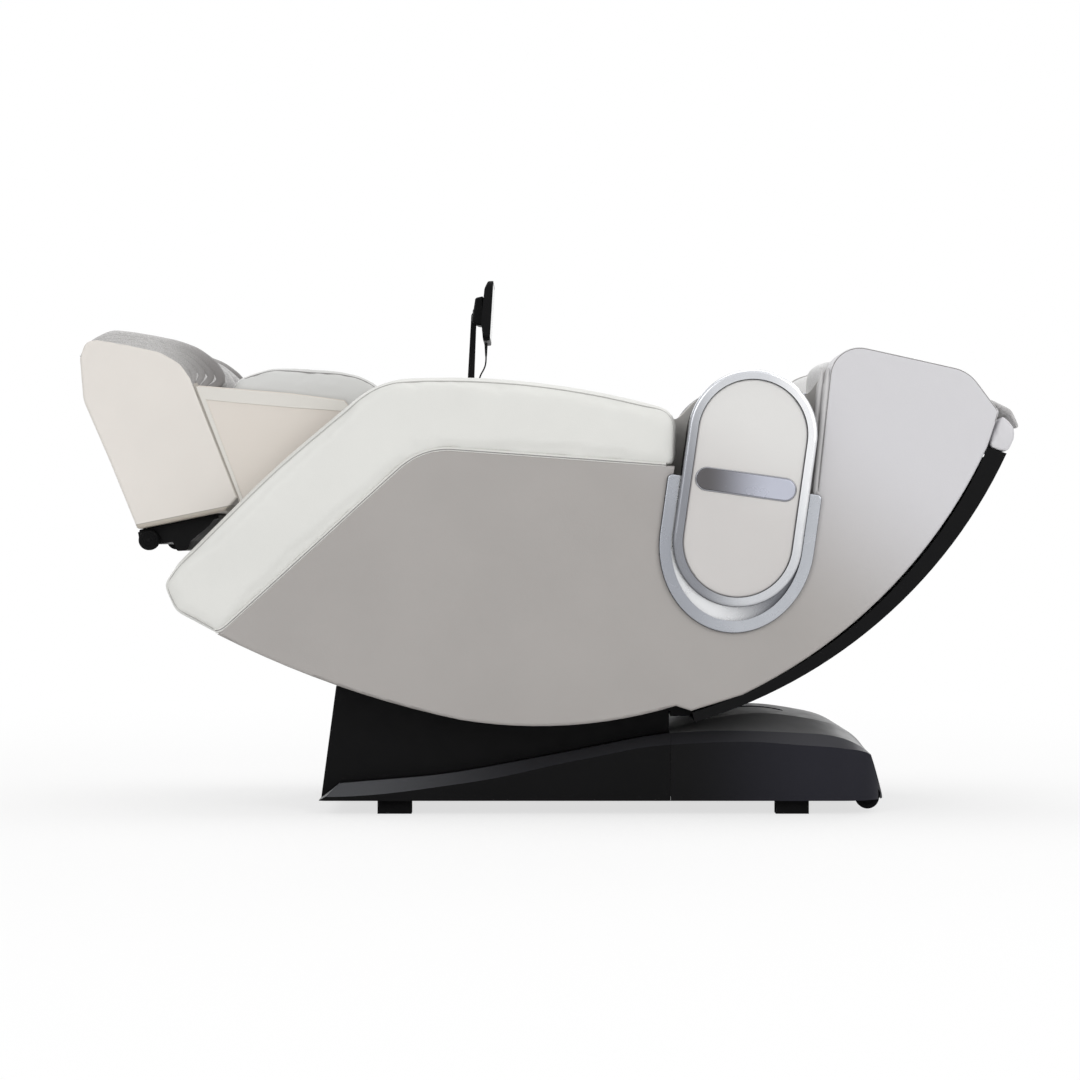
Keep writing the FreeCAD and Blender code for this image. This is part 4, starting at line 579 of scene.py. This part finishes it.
BRIGHT = dict(tone=0.01, rough_spread=0.03)
LEATHER = dict(Specular_IOR_Level=0.4, Coat_Weight=0.08, Coat_Roughness=0.35)
MATERIALS = {
    # The shell's colour: painted light pales it towards the wing
    "shell": dressed("shell", (167, 163, 160), 0.42, "leather", tone=0.02, paint=SHELL_LIGHT_FADE, **LEATHER),
    "pad": dressed("pad", (224, 224, 220), 0.45, "leather", tone=0.015, **LEATHER),
    "seat": dressed("seat", (205, 203, 200), 0.48, "leather", tone=0.03, **LEATHER),
    "piping": dressed("piping", (176, 175, 172), 0.5, "leather", tone=0.03),
    "dark_piping": dressed("dark_piping", (140, 138, 137), 0.5, "leather", tone=0.03),
    "knit": dressed("knit", (214, 213, 212), 0.85, "knit", paint=melange((168, 166, 166)),
                    Sheen_Weight=0.3),
    # Knit with painted shade towards the calves
    "fold_knit": dressed("fold_knit", (214, 213, 212), 0.9, "knit", paint=fold_shade_paint, Sheen_Weight=0.3),
    # A paler copy of the knit as painted light, making up for the shade the wings cast on the head-side
    # pads; the shoulder pads wear it too
    "head_knit": dressed("head_knit", (246, 246, 246), 0.8, "knit", paint=melange((222, 221, 221)),
                         Sheen_Weight=0.2),
    "calf": dressed("calf", (206, 206, 204), 0.5, "leather", tone=0.02, **LEATHER),
    "liner": dressed("liner", (196, 194, 191), 0.6, "leather", tone=0.04),
    # The calf panel's colour: painted light pales it towards the feet and upwards
    "leg": dressed("leg", (200, 192, 185), 0.38, "moulded", tone=0.02, paint=LEG_LIGHT_FADE),
    "foot": dressed("foot", (226, 221, 215), 0.40, "moulded", tone=0.02, paint=foot_paint),
    "foot_plain": dressed("foot_plain", (218, 215, 209), 0.40, "moulded", tone=0.02),
    "end_strip": dressed("end_strip", (172, 166, 158), 0.45, "moulded", tone=0.03),
    # A paler copy of the shell's leather as painted light, as lit as the shell's wing
    "roll": dressed("roll", (206, 205, 205), 0.42, "leather", tone=0.02, **LEATHER),
    # The ring's colour holds a painted reflection and painted shade on its walls
    "ring": dressed("ring", (206, 208, 212), 0.24, "satin", paint=ring_reflection_paint, Metallic=0.9, **BRIGHT),
    # The trim's colour holds a painted highlight, a painted reflection and painted shade along its edges
    "trim": dressed("trim", (184, 187, 193), 0.26, "satin", paint=trim_light_paint, Metallic=0.9, **BRIGHT),
    "chrome": dressed("chrome", (150, 151, 156), 0.22, "satin", Metallic=0.9, **BRIGHT),
    # The face's colour: painted light pales it towards its top
    "face": dressed("face", (204, 201, 199), 0.34, "polished", tone=0.015, paint=FACE_LIGHT_FADE,
                    Coat_Weight=0.25, Coat_Roughness=0.2),
    # The badge's colour is a painted reflection
    "badge": dressed("badge", (150, 150, 156), 0.25, "satin", paint=badge_reflection_paint, Metallic=0.6, **BRIGHT),
    "black": dressed("black", (12, 12, 13), 0.42, "moulded", tone=0.10, Specular_IOR_Level=0.09),
    # The pedestal's band holds painted light
    "pedestal": dressed("pedestal", (12, 12, 13), 0.45, "moulded", tone=0.08, paint=pedestal_light_paint,
                        Specular_IOR_Level=0.08),
    # The grey is painted top light on black plastic
    "crown": dressed("crown", (116, 116, 117), 0.40, "moulded", tone=0.05, paint=crown_light_paint,
                     Specular_IOR_Level=0.10),
    "rubber": dressed("rubber", (11, 11, 12), 0.75, "rubber", tone=0.12, Specular_IOR_Level=0.1),
    "frame": dressed("frame", (34, 35, 38), 0.50, "painted", tone=0.10),
    "steel": dressed("steel", (180, 181, 184), 0.30, "satin", Metallic=1.0),
    "alloy": dressed("alloy", (168, 170, 173), 0.40, "painted", Metallic=0.9),
    "speaker": dressed("speaker", (206, 208, 214), 0.35, "satin", Metallic=0.3),
    "glass": dressed("glass", (14, 15, 18), 0.08, "polished", Coat_Weight=0.6, Coat_Roughness=0.04),
    "hole": dressed("hole", (26, 26, 28), 0.7, "moulded", tone=0.10),
}

# The nodes that stay in sight, by their material
NODE_MATERIALS = {
    "shell": ["side_shell_right", "side_shell_left"],
    "liner": ["arm_liners"],
    "leg": ["calf_housing"],
    "foot": ["foot_housing"],
    "ring": ["capsule_rings"],
    "trim": ["side_trims"],
    "face": ["capsule_faces"],
    "badge": ["badge_plates"],
    "pedestal": ["front_base_cover"],
    "black": ["power_supply", "air_pump", "power_inlet", "shoulder_units", "back_cover",
              "tablet_socket", "foot_rails", "foot_base", "tablet_post", "tablet_case"],
    "crown": ["rear_base_cover"],
    "rubber": ["base_feet", "transport_wheel_right", "transport_wheel_left", "foot_wheel_right",
               "foot_wheel_left", "lower_roller_right", "lower_roller_left", "upper_roller_right",
               "upper_roller_left"],
    "frame": ["base_frame", "seat_frame", "back_frame", "legrest_frame", "massage_carriage",
              "kneading_arm_right", "kneading_arm_left", "recline_lever"],
    "steel": ["pivot_shafts", "frame_bolts", "recline_rod", "legrest_rod"],
    "alloy": ["recline_actuator", "legrest_actuator"],
    "speaker": ["speakers"],
    "glass": ["tablet_screen"],
    "hole": ["power_switch"],
}


def dress_nodes():
    for key, members in NODE_MATERIALS.items():
        for node in members:
            nodes[node].data.materials.clear()
            nodes[node].data.materials.append(MATERIALS[key])


# The tablet's lead

CABLE_D = 0.0034
CABLE_STEPS = 12
CABLE_ROUNDNESS = 4
CABLE_POINTS = [(-0.139, 0.968), (-0.139, 0.954), (-0.143, 0.940), (-0.151, 0.927), (-0.155, 0.914),
                (-0.155, 0.900)]


def tablet_lead():
    curve = bpy.data.curves.new("lead_route", "CURVE")
    curve.dimensions = "3D"
    curve.resolution_u = CABLE_STEPS
    spline = curve.splines.new("NURBS")
    spline.points.add(len(CABLE_POINTS) - 1)
    for point, (x, z) in zip(spline.points, CABLE_POINTS):
        point.co = (x, TABLET_Y, z, 1)
    spline.order_u = 3
    spline.use_endpoint_u = True
    guide = new_object("lead_route", curve)
    path = [v.co.copy() for v in bpy.data.meshes.new_from_object(guide).vertices]
    curve.bevel_depth = CABLE_D / 2
    curve.bevel_resolution = CABLE_ROUNDNESS
    curve.use_fill_caps = True
    lead = new_object("tablet_lead", bpy.data.meshes.new_from_object(guide))
    bpy.data.objects.remove(guide)
    lead.data.materials.append(MATERIALS["rubber"])
    lead.data.polygons.foreach_set("use_smooth", [True] * len(lead.data.polygons))
    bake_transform(lead)
    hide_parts("tablet_cable")


# Soft pieces: the node's form remeshed, swollen by a cloth simulation and capped

PRESSURE = 4.0
FRAMES = 12
SMOOTH_ROUNDS = 6
SMOOTH_SHARE = 0.5
CLOTH_QUALITY = 4
UNDER_FADE = 2


def remeshed(node, name, voxel):
    obj = new_object(name, nodes[node].data.copy())
    remesh = obj.modifiers.new("remesh", "REMESH")
    remesh.mode = "VOXEL"
    remesh.voxel_size = voxel
    applied(obj)
    even = obj.modifiers.new("even", "SMOOTH")
    even.iterations = SMOOTH_ROUNDS
    even.factor = SMOOTH_SHARE
    return applied(obj)


def swell(obj, cap, give, under):
    """Swells the piece like stuffed fabric, up to the cap. Its side that faces under stays flat."""
    before = [v.co.copy() for v in obj.data.vertices]
    normals = [v.normal.copy() for v in obj.data.vertices]
    cloth = obj.modifiers.new("cloth", "CLOTH")
    cloth.settings.use_pressure = True
    cloth.settings.uniform_pressure_force = PRESSURE
    cloth.settings.effector_weights.gravity = 0.0
    cloth.settings.quality = CLOTH_QUALITY
    cloth.point_cache.frame_end = FRAMES
    for number in range(1, FRAMES + 1):
        scene.frame_set(number)
    applied(obj)
    scene.frame_set(1)
    for vertex, start, normal in zip(obj.data.vertices, before, normals):
        shift = Vector(a * b for a, b in zip(vertex.co - start, give))
        if under:
            shift *= max(0.0, 1 - max(0.0, normal.dot(under)) * UNDER_FADE)
        if shift.length > cap:
            shift *= cap / shift.length
        vertex.co = start + shift
    obj.data.update()


def subdivided(obj):
    finer = obj.modifiers.new("finer", "SUBSURF")
    finer.levels = 1
    finer.render_levels = 1
    return applied(obj)


def groove(distance, width, depth):
    return depth * exp(-(distance / width) ** 2)


def soft_piece(node, name, voxel, cap, give, under=None, carve=None, half=None):
    """A node's form as fabric. carve moves its points at the end, and half keeps it between side planes."""
    obj = remeshed(node, name, voxel)
    swell(obj, cap, give, under)
    subdivided(obj)
    if carve:
        moved_by(obj, carve)
    if half:
        for vertex in obj.data.vertices:
            vertex.co.y = max(-half, min(half, vertex.co.y))
    return obj


def declared(obj, node, body, material, slot, fill):
    finished(obj, body, material)
    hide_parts(node)
    return obj


SEAT_CHANNELS = (0.075, 0.190, 0.305, 0.420, 0.520)
BACK_CHANNELS = (0.150, 0.300, 0.450, 0.600)
CHANNEL_WIDTH = 0.006
CHANNEL_DEPTH = 0.007
CHANNEL_TOP = -0.03
PANEL_HALF = 0.165
PILLOW_SEAM = 0.711
PILLOW_DEPTH = 0.008
CALF_SEAM = 0.217
CALF_SEAM_TOP = 0.1
CALF_SEAM_SIZE = 0.004


def channelled(start, slope, channels):
    """Sewn channels across a seat or back, between two seams that run along it."""
    def shift(place, normal):
        run, height = run_along(place, start, slope)
        if height < CHANNEL_TOP:
            return Vector()
        inner = 1.0 if abs(place.y) < PANEL_HALF else 0.0
        depth = sum(groove(run - c, CHANNEL_WIDTH, CHANNEL_DEPTH) for c in channels) * inner
        depth += groove(abs(place.y) - PANEL_HALF, CHANNEL_WIDTH, CHANNEL_DEPTH)
        return normal * -depth
    return shift


def pillow_carve(place, normal):
    """One sewn seam across the pillow."""
    run, _ = run_along(place, HIP, BACK_SLOPE)
    return normal * -groove(run - PILLOW_SEAM, CHANNEL_WIDTH, PILLOW_DEPTH)


def calf_carve(place, normal):
    """A seam along the top of each side wall."""
    if leg_place(place)[1] <= CALF_SEAM_TOP:
        return Vector()
    return normal * -groove(abs(place.y) - CALF_SEAM, CALF_SEAM_SIZE, CALF_SEAM_SIZE)


FOLD_START_T = 0.232
FOLD_START_S = 0.388
FOLD_HALF = 0.2572
FOLD_SECTION = 0.2568
FOLD_FACE = 0.2604
FOLD_MIN = 0.0012
FOLD_FULL = 0.60
FOLD_COUNT = 5
FOLD_POINTS = 48
SHELL_RIM = [(0.402, 0.392), (0.360, 0.3945), (0.300, 0.3790), (0.246, 0.3460), (0.216, 0.3080),
             (0.2055, 0.2680)]


def evenly(points):
    """A line's points again, as many as the folds have, from the toes to the calves."""
    points = resampled(points, length_of(points) / (FOLD_POINTS - 1))
    return points if points[0].x < points[-1].x else points[::-1]


def lapped_folds():
    """Folds of the knit lining, which fan out between the foot shell's rim and the lining's top."""
    outer = section("foot_liner", -FOLD_SECTION)[0]
    top = longest_run(outer, lambda p: leg_place(p)[1] > FOLD_START_T and leg_place(p)[0] < FOLD_START_S)
    top = evenly(smoothed(top, "fold_top"))
    rim = evenly([Vector((x, 0, z)) for x, z in (leg_point(s, t) for s, t in SHELL_RIM)])
    rim = smoothed(rim, "fold_rim")
    for number in range(FOLD_COUNT):
        share = (number + 0.5) / FOLD_COUNT
        path, widths = [], []
        for low, high in zip(rim, top):
            high = Vector((high.x, 0, high.z))
            r = max(FOLD_MIN, (high - low).length / FOLD_COUNT * FOLD_FULL)
            place = low.lerp(high, share)
            path.append(Vector((place.x, r - FOLD_FACE, place.z)))
            widths.append(r)
        fold = tubes(f"foot_fold_{number + 1}", pair(path), 1.0, widths=widths)
        finished(fold, "footrest", "fold_knit")


SEAT_DOWN = Vector((sin(SEAT_SLOPE), 0, -cos(SEAT_SLOPE)))
BACK_DOWN = Vector((sin(BACK_SLOPE), 0, -cos(BACK_SLOPE)))
EVEN = (1, 1, 1)
CUSHION_GIVE = (1, 0.3, 1)
PAD_GIVE = (0.25, 1, 0.25)
SIDE_GIVE = (0.3, 1, 0.3)
LEG_GIVE = (0.4, 0.5, 0.4)
PAD_FILL = 0.9
SEAT_CARVE = channelled(KNEE, SEAT_SLOPE, SEAT_CHANNELS)
BACK_CARVE = channelled(HIP, BACK_SLOPE, BACK_CHANNELS)

# Node: its piece, voxel, cap, give and what else shapes it, and then body, material, slot and fill
SOFT_PIECES = {
    "seat_cushion": ("seat_cover", 0.0095, 0.014, CUSHION_GIVE, dict(under=SEAT_DOWN, carve=SEAT_CARVE),
                     "chair_body", "seat", "seat_leather", 0.8),
    "back_cushion": ("back_cover_pad", 0.0095, 0.014, CUSHION_GIVE, dict(under=BACK_DOWN, carve=BACK_CARVE),
                     "chair_body", "seat", "seat_leather", 0.8),
    "head_pillow": ("pillow_cover", 0.0075, 0.012, EVEN, dict(under=BACK_DOWN, carve=pillow_carve),
                    "chair_body", "seat", "seat_leather", 0.7),
    "shoulder_pads": ("shoulder_pad_covers", 0.0060, 0.007, SIDE_GIVE, {},
                      "chair_body", "head_knit", "knit", 0.7),
    "head_side_pads": ("head_side_covers", 0.0060, 0.007, SIDE_GIVE, {},
                       "chair_body", "head_knit", "knit", 0.7),
    "head_flap": ("flap_cover", 0.0035, 0.002, EVEN, {},
                  "chair_body", "knit", "knit", 0.4),
    "back_lip": ("lip_cover", 0.0055, 0.003, EVEN, {},
                 "chair_body", "shell", "shell_grey", 0.9),
    "calf_cushion": ("calf_cover", 0.0075, 0.005, LEG_GIVE, dict(carve=calf_carve),
                     "legrest", "calf", "knit", 0.8),
    "foot_liner": ("foot_cover", 0.0075, 0.004, LEG_GIVE, dict(half=FOLD_HALF),
                   "footrest", "knit", "knit", 0.8),
}


def make_soft_pieces():
    """All soft pieces, by their nodes' names."""
    pad = soft_piece("arm_pad_left", "arm_pad_cover_left", 0.0080, 0.004, PAD_GIVE)
    made = {"arm_pad_left": pad, "arm_pad_right": mirrored_copy(pad, "arm_pad_cover_right")}
    for node, piece in made.items():
        declared(piece, node, "chair_body", "pad", "pad_leather", PAD_FILL)
    for node, (name, voxel, cap, give, more, *dress) in SOFT_PIECES.items():
        made[node] = declared(soft_piece(node, name, voxel, cap, give, **more), node, *dress)
    lapped_folds()
    return made


# Piping and seams

PIPING_R = 0.0014
SEAM_R = 0.0010
WELT_R = 0.0055
PAD_PIPING_R = 0.0016
CUSHION_PIPING_R = 0.0020
PIPING_LIFT = 0.0002
PAD_LIFT = 0.0004
CUSHION_LIFT = 0.0006
RIM_SECTION = 0.3985
CALF_SECTION = 0.2465
CALF_RIM_T = 0.12
PAD_SECTION = 0.2420
CUSHION_SECTION = 0.2500
CUSHION_RIM = -0.012
SEAM_END = 0.235
SEAM_OUT = 0.0003
NEAR_SHELL = 0.012
SHELL_STEP = 0.003
# Where the wing's piping starts and ends, and the corner at its rear that carries none
WING_START = 0.535
WING_FOOT = 0.66
WING_CORNER = (0.8, 0.79)


def piping(name, path, r, body, material):
    """A round line on both sides of the chair."""
    return finished(tubes(name, pair(path), r), body, material)


def wing_piping(shell_loop):
    """Piping round the wing's edge."""
    def on_wing(p):
        in_corner = p.x > WING_CORNER[0] and p.z < WING_CORNER[1]
        return p.x > WING_START and p.z > WING_FOOT and not in_corner

    path = smoothed(longest_run(shell_loop, on_wing), "wing")
    piping("wing_piping", path, SEAM_R, "chair_body", "dark_piping")


WING_FRONT = (Vector((0.5375, 0, 0.640)), Vector((0.5650, 0, 0.900)))
ROLLS = ((0.0050, 0.3905, 0.0078), (0.0165, 0.3800, 0.0078))
ROLL_POINTS = 31
ROLL_TIP = 0.25
ROLL_TAPER = 5


def wing_rolls():
    """Two padded rolls along the wing's front edge, behind the capsule's ring."""
    low, high = WING_FRONT
    across = (high - low).normalized().cross(Vector((0, 1, 0)))
    shares = [i / (ROLL_POINTS - 1) for i in range(ROLL_POINTS)]
    widths = [min(1.0, ROLL_TIP + ROLL_TAPER * (1 - share)) for share in shares]
    for number, (inset, y, r) in enumerate(ROLLS):
        shift = Vector((-abs(across.x), 0, abs(across.z))) * inset
        path = [low.lerp(high, share) + shift + Vector((0, -y, 0)) for share in shares]
        roll = tubes(f"wing_roll_{number + 1}", pair(path), r, widths=widths)
        finished(roll, "chair_body", "roll")


def pad_edges(shell_loop, pad):
    """Piping along the arm pad's free rim, and the welt and the seam where it meets the shell."""
    loop = section("arm_pad_left", -RIM_SECTION)[0]
    shell_points = resampled(shell_loop, SHELL_STEP)

    def by_shell(point):
        return min((point - q).length for q in shell_points) < NEAR_SHELL

    seam = longest_run(loop, lambda p: by_shell(p) and p.x < SEAM_END)
    rim = laid_on(longest_run(loop, lambda p: not by_shell(p)), surface_of(pad), PIPING_LIFT)
    piping("pad_piping", smoothed(rim, "pad"), PIPING_R, "chair_body", "piping")
    for name, y, r, material in (("seam_welt", -SIDE_FACE + WELT_R, WELT_R, "pad"),
                                 ("seam_piping", -SIDE_FACE - SEAM_OUT, SEAM_R, "dark_piping")):
        path = [Vector((p.x, y, p.z)) for p in seam]
        piping(name, smoothed(path, "seam"), r, "chair_body", material)


def calf_piping(calf):
    """Piping along the tops of the leg rest's side walls."""
    loop = section("calf_cushion", -CALF_SECTION)[0]
    run = longest_run(loop, lambda p: leg_place(p)[1] > CALF_RIM_T)
    path = laid_on(run, surface_of(calf), PIPING_LIFT)
    piping("calf_piping", smoothed(path, "calf"), PIPING_R, "legrest", "dark_piping")


def pad_rims(made):
    """Piping round the head-side and shoulder pads."""
    for node in ("head_side_pads", "shoulder_pads"):
        path = laid_on(resampled(section(node, -PAD_SECTION)[0]), surface_of(made[node]), PAD_LIFT)
        path = smoothed(path, "side_pads")
        piping(node + "_piping", path, PAD_PIPING_R, "chair_body", "piping")


def cushion_rims(made):
    """Piping along both upper edges of the seat and back cushions."""
    for node, start, slope in (("seat_cushion", KNEE, SEAT_SLOPE), ("back_cushion", HIP, BACK_SLOPE)):
        loop = section(node, -CUSHION_SECTION)[0]
        run = longest_run(loop, lambda p: run_along(p, start, slope)[1] > CUSHION_RIM)
        path = smoothed(laid_on(run, surface_of(made[node]), CUSHION_LIFT), "cushion")
        piping(node + "_piping", path, CUSHION_PIPING_R, "chair_body", "piping")


HIP_ROLL = (0.1115, 0.3360)
HIP_ROLL_HALF = 0.252
HIP_ROLL_R = 0.017
HIP_ROLL_STEPS = 4


def hip_roll():
    """Padded roll that closes the slit between seat and back."""
    x, z = HIP_ROLL
    steps = range(-HIP_ROLL_STEPS, HIP_ROLL_STEPS + 1)
    path = [Vector((x, HIP_ROLL_HALF * i / HIP_ROLL_STEPS, z)) for i in steps]
    roll = tubes("hip_roll", [path], HIP_ROLL_R)
    finished(roll, "chair_body", "seat")


# Hard trim

BADGE_HALF_RUN = 0.078
BADGE_R = 0.0222
BADGE_RISE = 0.008
BADGE_LIP_R = 0.0018
BADGE_LIP_OUT = 0.0008


def badge_outline():
    """Bright lip round the bare badge."""
    y = -FACE_LEVEL - BADGE_LIP_OUT
    path = [capsule_point(u, v + BADGE_RISE, y) for u, v in stadium(BADGE_HALF_RUN, BADGE_R)]
    lip = tubes("badge_lips", pair(path), BADGE_LIP_R, closed=True)
    finished(lip, "chair_body", "chrome")


HOLE_R = 0.0013
HOLE_PITCH = 0.0050
HOLE_RINGS = 5
HOLES_PER_RING = 6
HOLE_SIDES = 8
HOLE_OUT = 0.00015
BEZEL_INSET = 0.003
BEZEL_R = 0.0017
BEZEL_POINTS = 64


def speaker_grilles():
    """Bezel and rings of small holes on each speaker."""
    x, z = SPEAKER
    vertices, faces = [], []
    for side in (-1, 1):
        y = side * (SPEAKER_FACE - HOLE_OUT)
        for ring in range(1, HOLE_RINGS + 1):
            for hole in circle(x, y, z, HOLE_PITCH * ring, HOLES_PER_RING * ring):
                start = len(vertices)
                vertices += circle(*hole, HOLE_R, HOLE_SIDES)
                face = tuple(range(start, start + HOLE_SIDES))
                faces.append(face if side > 0 else face[::-1])
    finished(mesh_from("speaker_holes", vertices, faces), "chair_body", "hole")
    path = circle(x, -SPEAKER_FACE, z, SPEAKER_R - BEZEL_INSET, BEZEL_POINTS)
    bezel = tubes("speaker_bezels", pair(path), BEZEL_R, closed=True)
    finished(bezel, "chair_body", "chrome")


def slab_piece(name, outline, y0, y1, bevel, body, material):
    """A slab between two planes square to Y, dressed and on its body. outline is (x, z) corners."""
    piece = rounded_slab(name, outline, min(y0, y1), max(y0, y1), bevel)
    return finished(piece, body, material, smooth=False)


# Outlines in leg-rest coordinates: the border of the calf panel and the strip at its foot end
BORDER_LINE = [(0.1935, 0.000), (0.1985, 0.255), (0.132, 0.2245), (0.022, 0.1735), (-0.076, 0.1225),
               (-0.0845, 0.096), (0.024, 0.1445), (0.130, 0.1940), (0.1885, 0.2225), (0.1868, 0.000)]
PANEL_END_LINE = [(0.1880, 0.000), (0.1930, 0.262), (0.2022, 0.262), (0.1968, 0.000)]
BORDER_DEPTHS = (-0.0004, 0.0022)
BORDER_BEVEL = 0.0009
END_DEPTHS = (-0.0036, -0.0008)
END_BEVEL = 0.0004
# Outlines in a side view: the strips over the foot's sole and under the hip, and the tablet's holder
SOLE_LINE = [(-0.8430, 0.5772), (-0.6830, 0.6100), (-0.6800, 0.6000), (-0.8440, 0.5690)]
SOLE_HALF = 0.2215
SOLE_BEVEL = 0.0015
TAIL_LINE = [(0.234, 0.233), (0.296, 0.232), (0.300, 0.206), (0.290, 0.1975), (0.2480, 0.1955),
             (0.2480, 0.2056), (0.234, 0.2060)]
TAIL_HALF = 0.268
TAIL_BEVEL = 0.0020
MOUNT_LINE = [(-0.171, 1.043), (-0.1625, 1.097), (-0.1445, 1.101), (-0.1415, 1.036), (-0.153, 1.0345)]
MOUNT_HALF = 0.032
MOUNT_BEVEL = 0.004


def calf_strips(name, line, depths, bevel, material):
    """A strip on each of the leg rest's side panels."""
    outline = [leg_point(s, t) for s, t in line]
    for side, word in ((-1, "left"), (1, "right")):
        y0, y1 = [side * (CALF_FACE + depth) for depth in depths]
        slab_piece(f"{name}_{word}", outline, y0, y1, bevel, "legrest", material)


def plastic_strips():
    """Raised borders on the calf panels, and strips that close the slits beside, below and behind them."""
    calf_strips("calf_border", BORDER_LINE, BORDER_DEPTHS, BORDER_BEVEL, "foot_plain")
    calf_strips("calf_end_strip", PANEL_END_LINE, END_DEPTHS, END_BEVEL, "end_strip")
    slab_piece("sole_strip", SOLE_LINE, -SOLE_HALF, SOLE_HALF, SOLE_BEVEL, "footrest", "black")
    slab_piece("hip_strip", TAIL_LINE, -TAIL_HALF, TAIL_HALF, TAIL_BEVEL, "chair_body", "black")


def tablet_mount():
    """Holder on the tablet's back, over the post's fork."""
    y0, y1 = TABLET_Y - MOUNT_HALF, TABLET_Y + MOUNT_HALF
    slab_piece("tablet_mount", MOUNT_LINE, y0, y1, MOUNT_BEVEL, "tablet", "black")


RIM_SHARE = 0.62
RIM_THICKNESS = 0.07
RIM_POINTS = 48


def wheel_rims():
    """Raised rim on the outer face of each transport wheel and foot wheel."""
    for node in ("transport_wheel", "foot_wheel"):
        for side, sign in (("left", -1), ("right", 1)):
            low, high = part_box(node + "_" + side)
            x, z = (low.x + high.x) / 2, (low.z + high.z) / 2
            y = low.y if sign < 0 else high.y
            r = (high.x - low.x) / 2 * RIM_SHARE
            path = circle(x, y, z, r, RIM_POINTS)
            rim = tubes(node + "_rim_" + side, [path], r * RIM_THICKNESS, closed=True)
            finished(rim, node + "_" + side, "black")


# Camera, at the photograph's place

CAMERA_PLACE = (-0.018, -6.400, 0.556)
LENS_MM = 100
SENSOR_MM = 36


def make_camera():
    data = bpy.data.cameras.new("camera")
    data.lens = LENS_MM
    data.sensor_width = SENSOR_MM
    camera = new_object("camera", data)
    camera.location = CAMERA_PLACE
    camera.rotation_euler = (radians(90), 0, 0)
    scene.camera = camera


# Floor, backdrop and lamps

LAMPS = {
    "front_left": ((-3.0, -5.2, 3.0), 3.2, 80.0),
    "front_right": ((3.4, -4.6, 3.0), 3.2, 95.0),
    "top": ((0.2, 0.2, 4.4), 3.6, 60.0),
    "back_left": ((-3.4, 4.6, 2.8), 3.0, 65.0),
    "back_right": ((3.2, 4.8, 2.8), 3.0, 65.0),
}
LAMP_AIM = Vector((0, 0, 0.55))
AMBIENT = 0.42


def make_lamps():
    for name, (place, size, power) in LAMPS.items():
        data = bpy.data.lights.new(name, "AREA")
        data.size = size
        data.energy = power
        lamp = new_object("lamp_" + name, data)
        lamp.location = place
        lamp.rotation_euler = (LAMP_AIM - Vector(place)).to_track_quat("-Z", "Y").to_euler()


def make_world():
    world = bpy.data.worlds.new("studio")
    scene.world = world
    world.use_nodes = True
    tree = world.node_tree
    backdrop = tree.nodes["Background"]
    backdrop.inputs["Color"].default_value = (1, 1, 1, 1)
    path = tree.nodes.new("ShaderNodeLightPath")
    seen = path.outputs["Is Camera Ray"]
    for ray in ("Is Glossy Ray", "Is Transmission Ray"):
        either = tree.nodes.new("ShaderNodeMath")
        either.operation = "MAXIMUM"
        tree.links.new(seen, either.inputs[0])
        tree.links.new(path.outputs[ray], either.inputs[1])
        seen = either.outputs[0]
    level = tree.nodes.new("ShaderNodeMapRange")
    level.inputs["To Min"].default_value = AMBIENT
    level.inputs["To Max"].default_value = 1.0
    tree.links.new(seen, level.inputs["Value"])
    tree.links.new(level.outputs["Result"], backdrop.inputs["Strength"])


FLOOR_HALF = 9.0
FLOOR_WHITE = 0.96
FLOOR_ROUGH = 0.9
# The floor goes over into the white background between two distances, from the first share to the second
FLOOR_FADE = (1.0, 4.0, 0.70, 1.0)


def make_floor():
    corners = [(x * FLOOR_HALF, y * FLOOR_HALF, 0) for x, y in ((-1, -1), (1, -1), (1, 1), (-1, 1))]
    floor = mesh_from("floor", corners, [(0, 1, 2, 3)])
    made = Nodes("floor_white")
    made.shader.inputs["Base Color"].default_value = (FLOOR_WHITE, FLOOR_WHITE, FLOOR_WHITE, 1)
    made.shader.inputs["Roughness"].default_value = FLOOR_ROUGH
    glow = made.add("ShaderNodeEmission", {"Color": (1, 1, 1, 1), "Strength": 1.0}).outputs[0]
    path = made.add("ShaderNodeLightPath")
    away = made.ranged(made.vectors("DISTANCE", made.place, (0, 0, 0)), *FLOOR_FADE)
    share = made.maths("MULTIPLY", away, path.outputs["Is Camera Ray"])
    mix = made.add("ShaderNodeMixShader", {0: share, 1: made.shader.outputs[0], 2: glow}).outputs[0]
    made.tree.links.new(mix, made.tree.nodes["Material Output"].inputs["Surface"])
    floor.data.materials.append(made.material)


make_camera()
dress_nodes()
tablet_lead()
soft = make_soft_pieces()
shell_loop = section("side_shell_left", -RIM_SECTION)[0]
wing_piping(shell_loop)
wing_rolls()
pad_edges(shell_loop, soft["arm_pad_left"])
calf_piping(soft["calf_cushion"])
pad_rims(soft)
cushion_rims(soft)
hip_roll()
badge_outline()
speaker_grilles()
plastic_strips()
tablet_mount()
wheel_rims()
make_lamps()
make_world()
make_floor()

scene.view_settings.view_transform = "Standard"
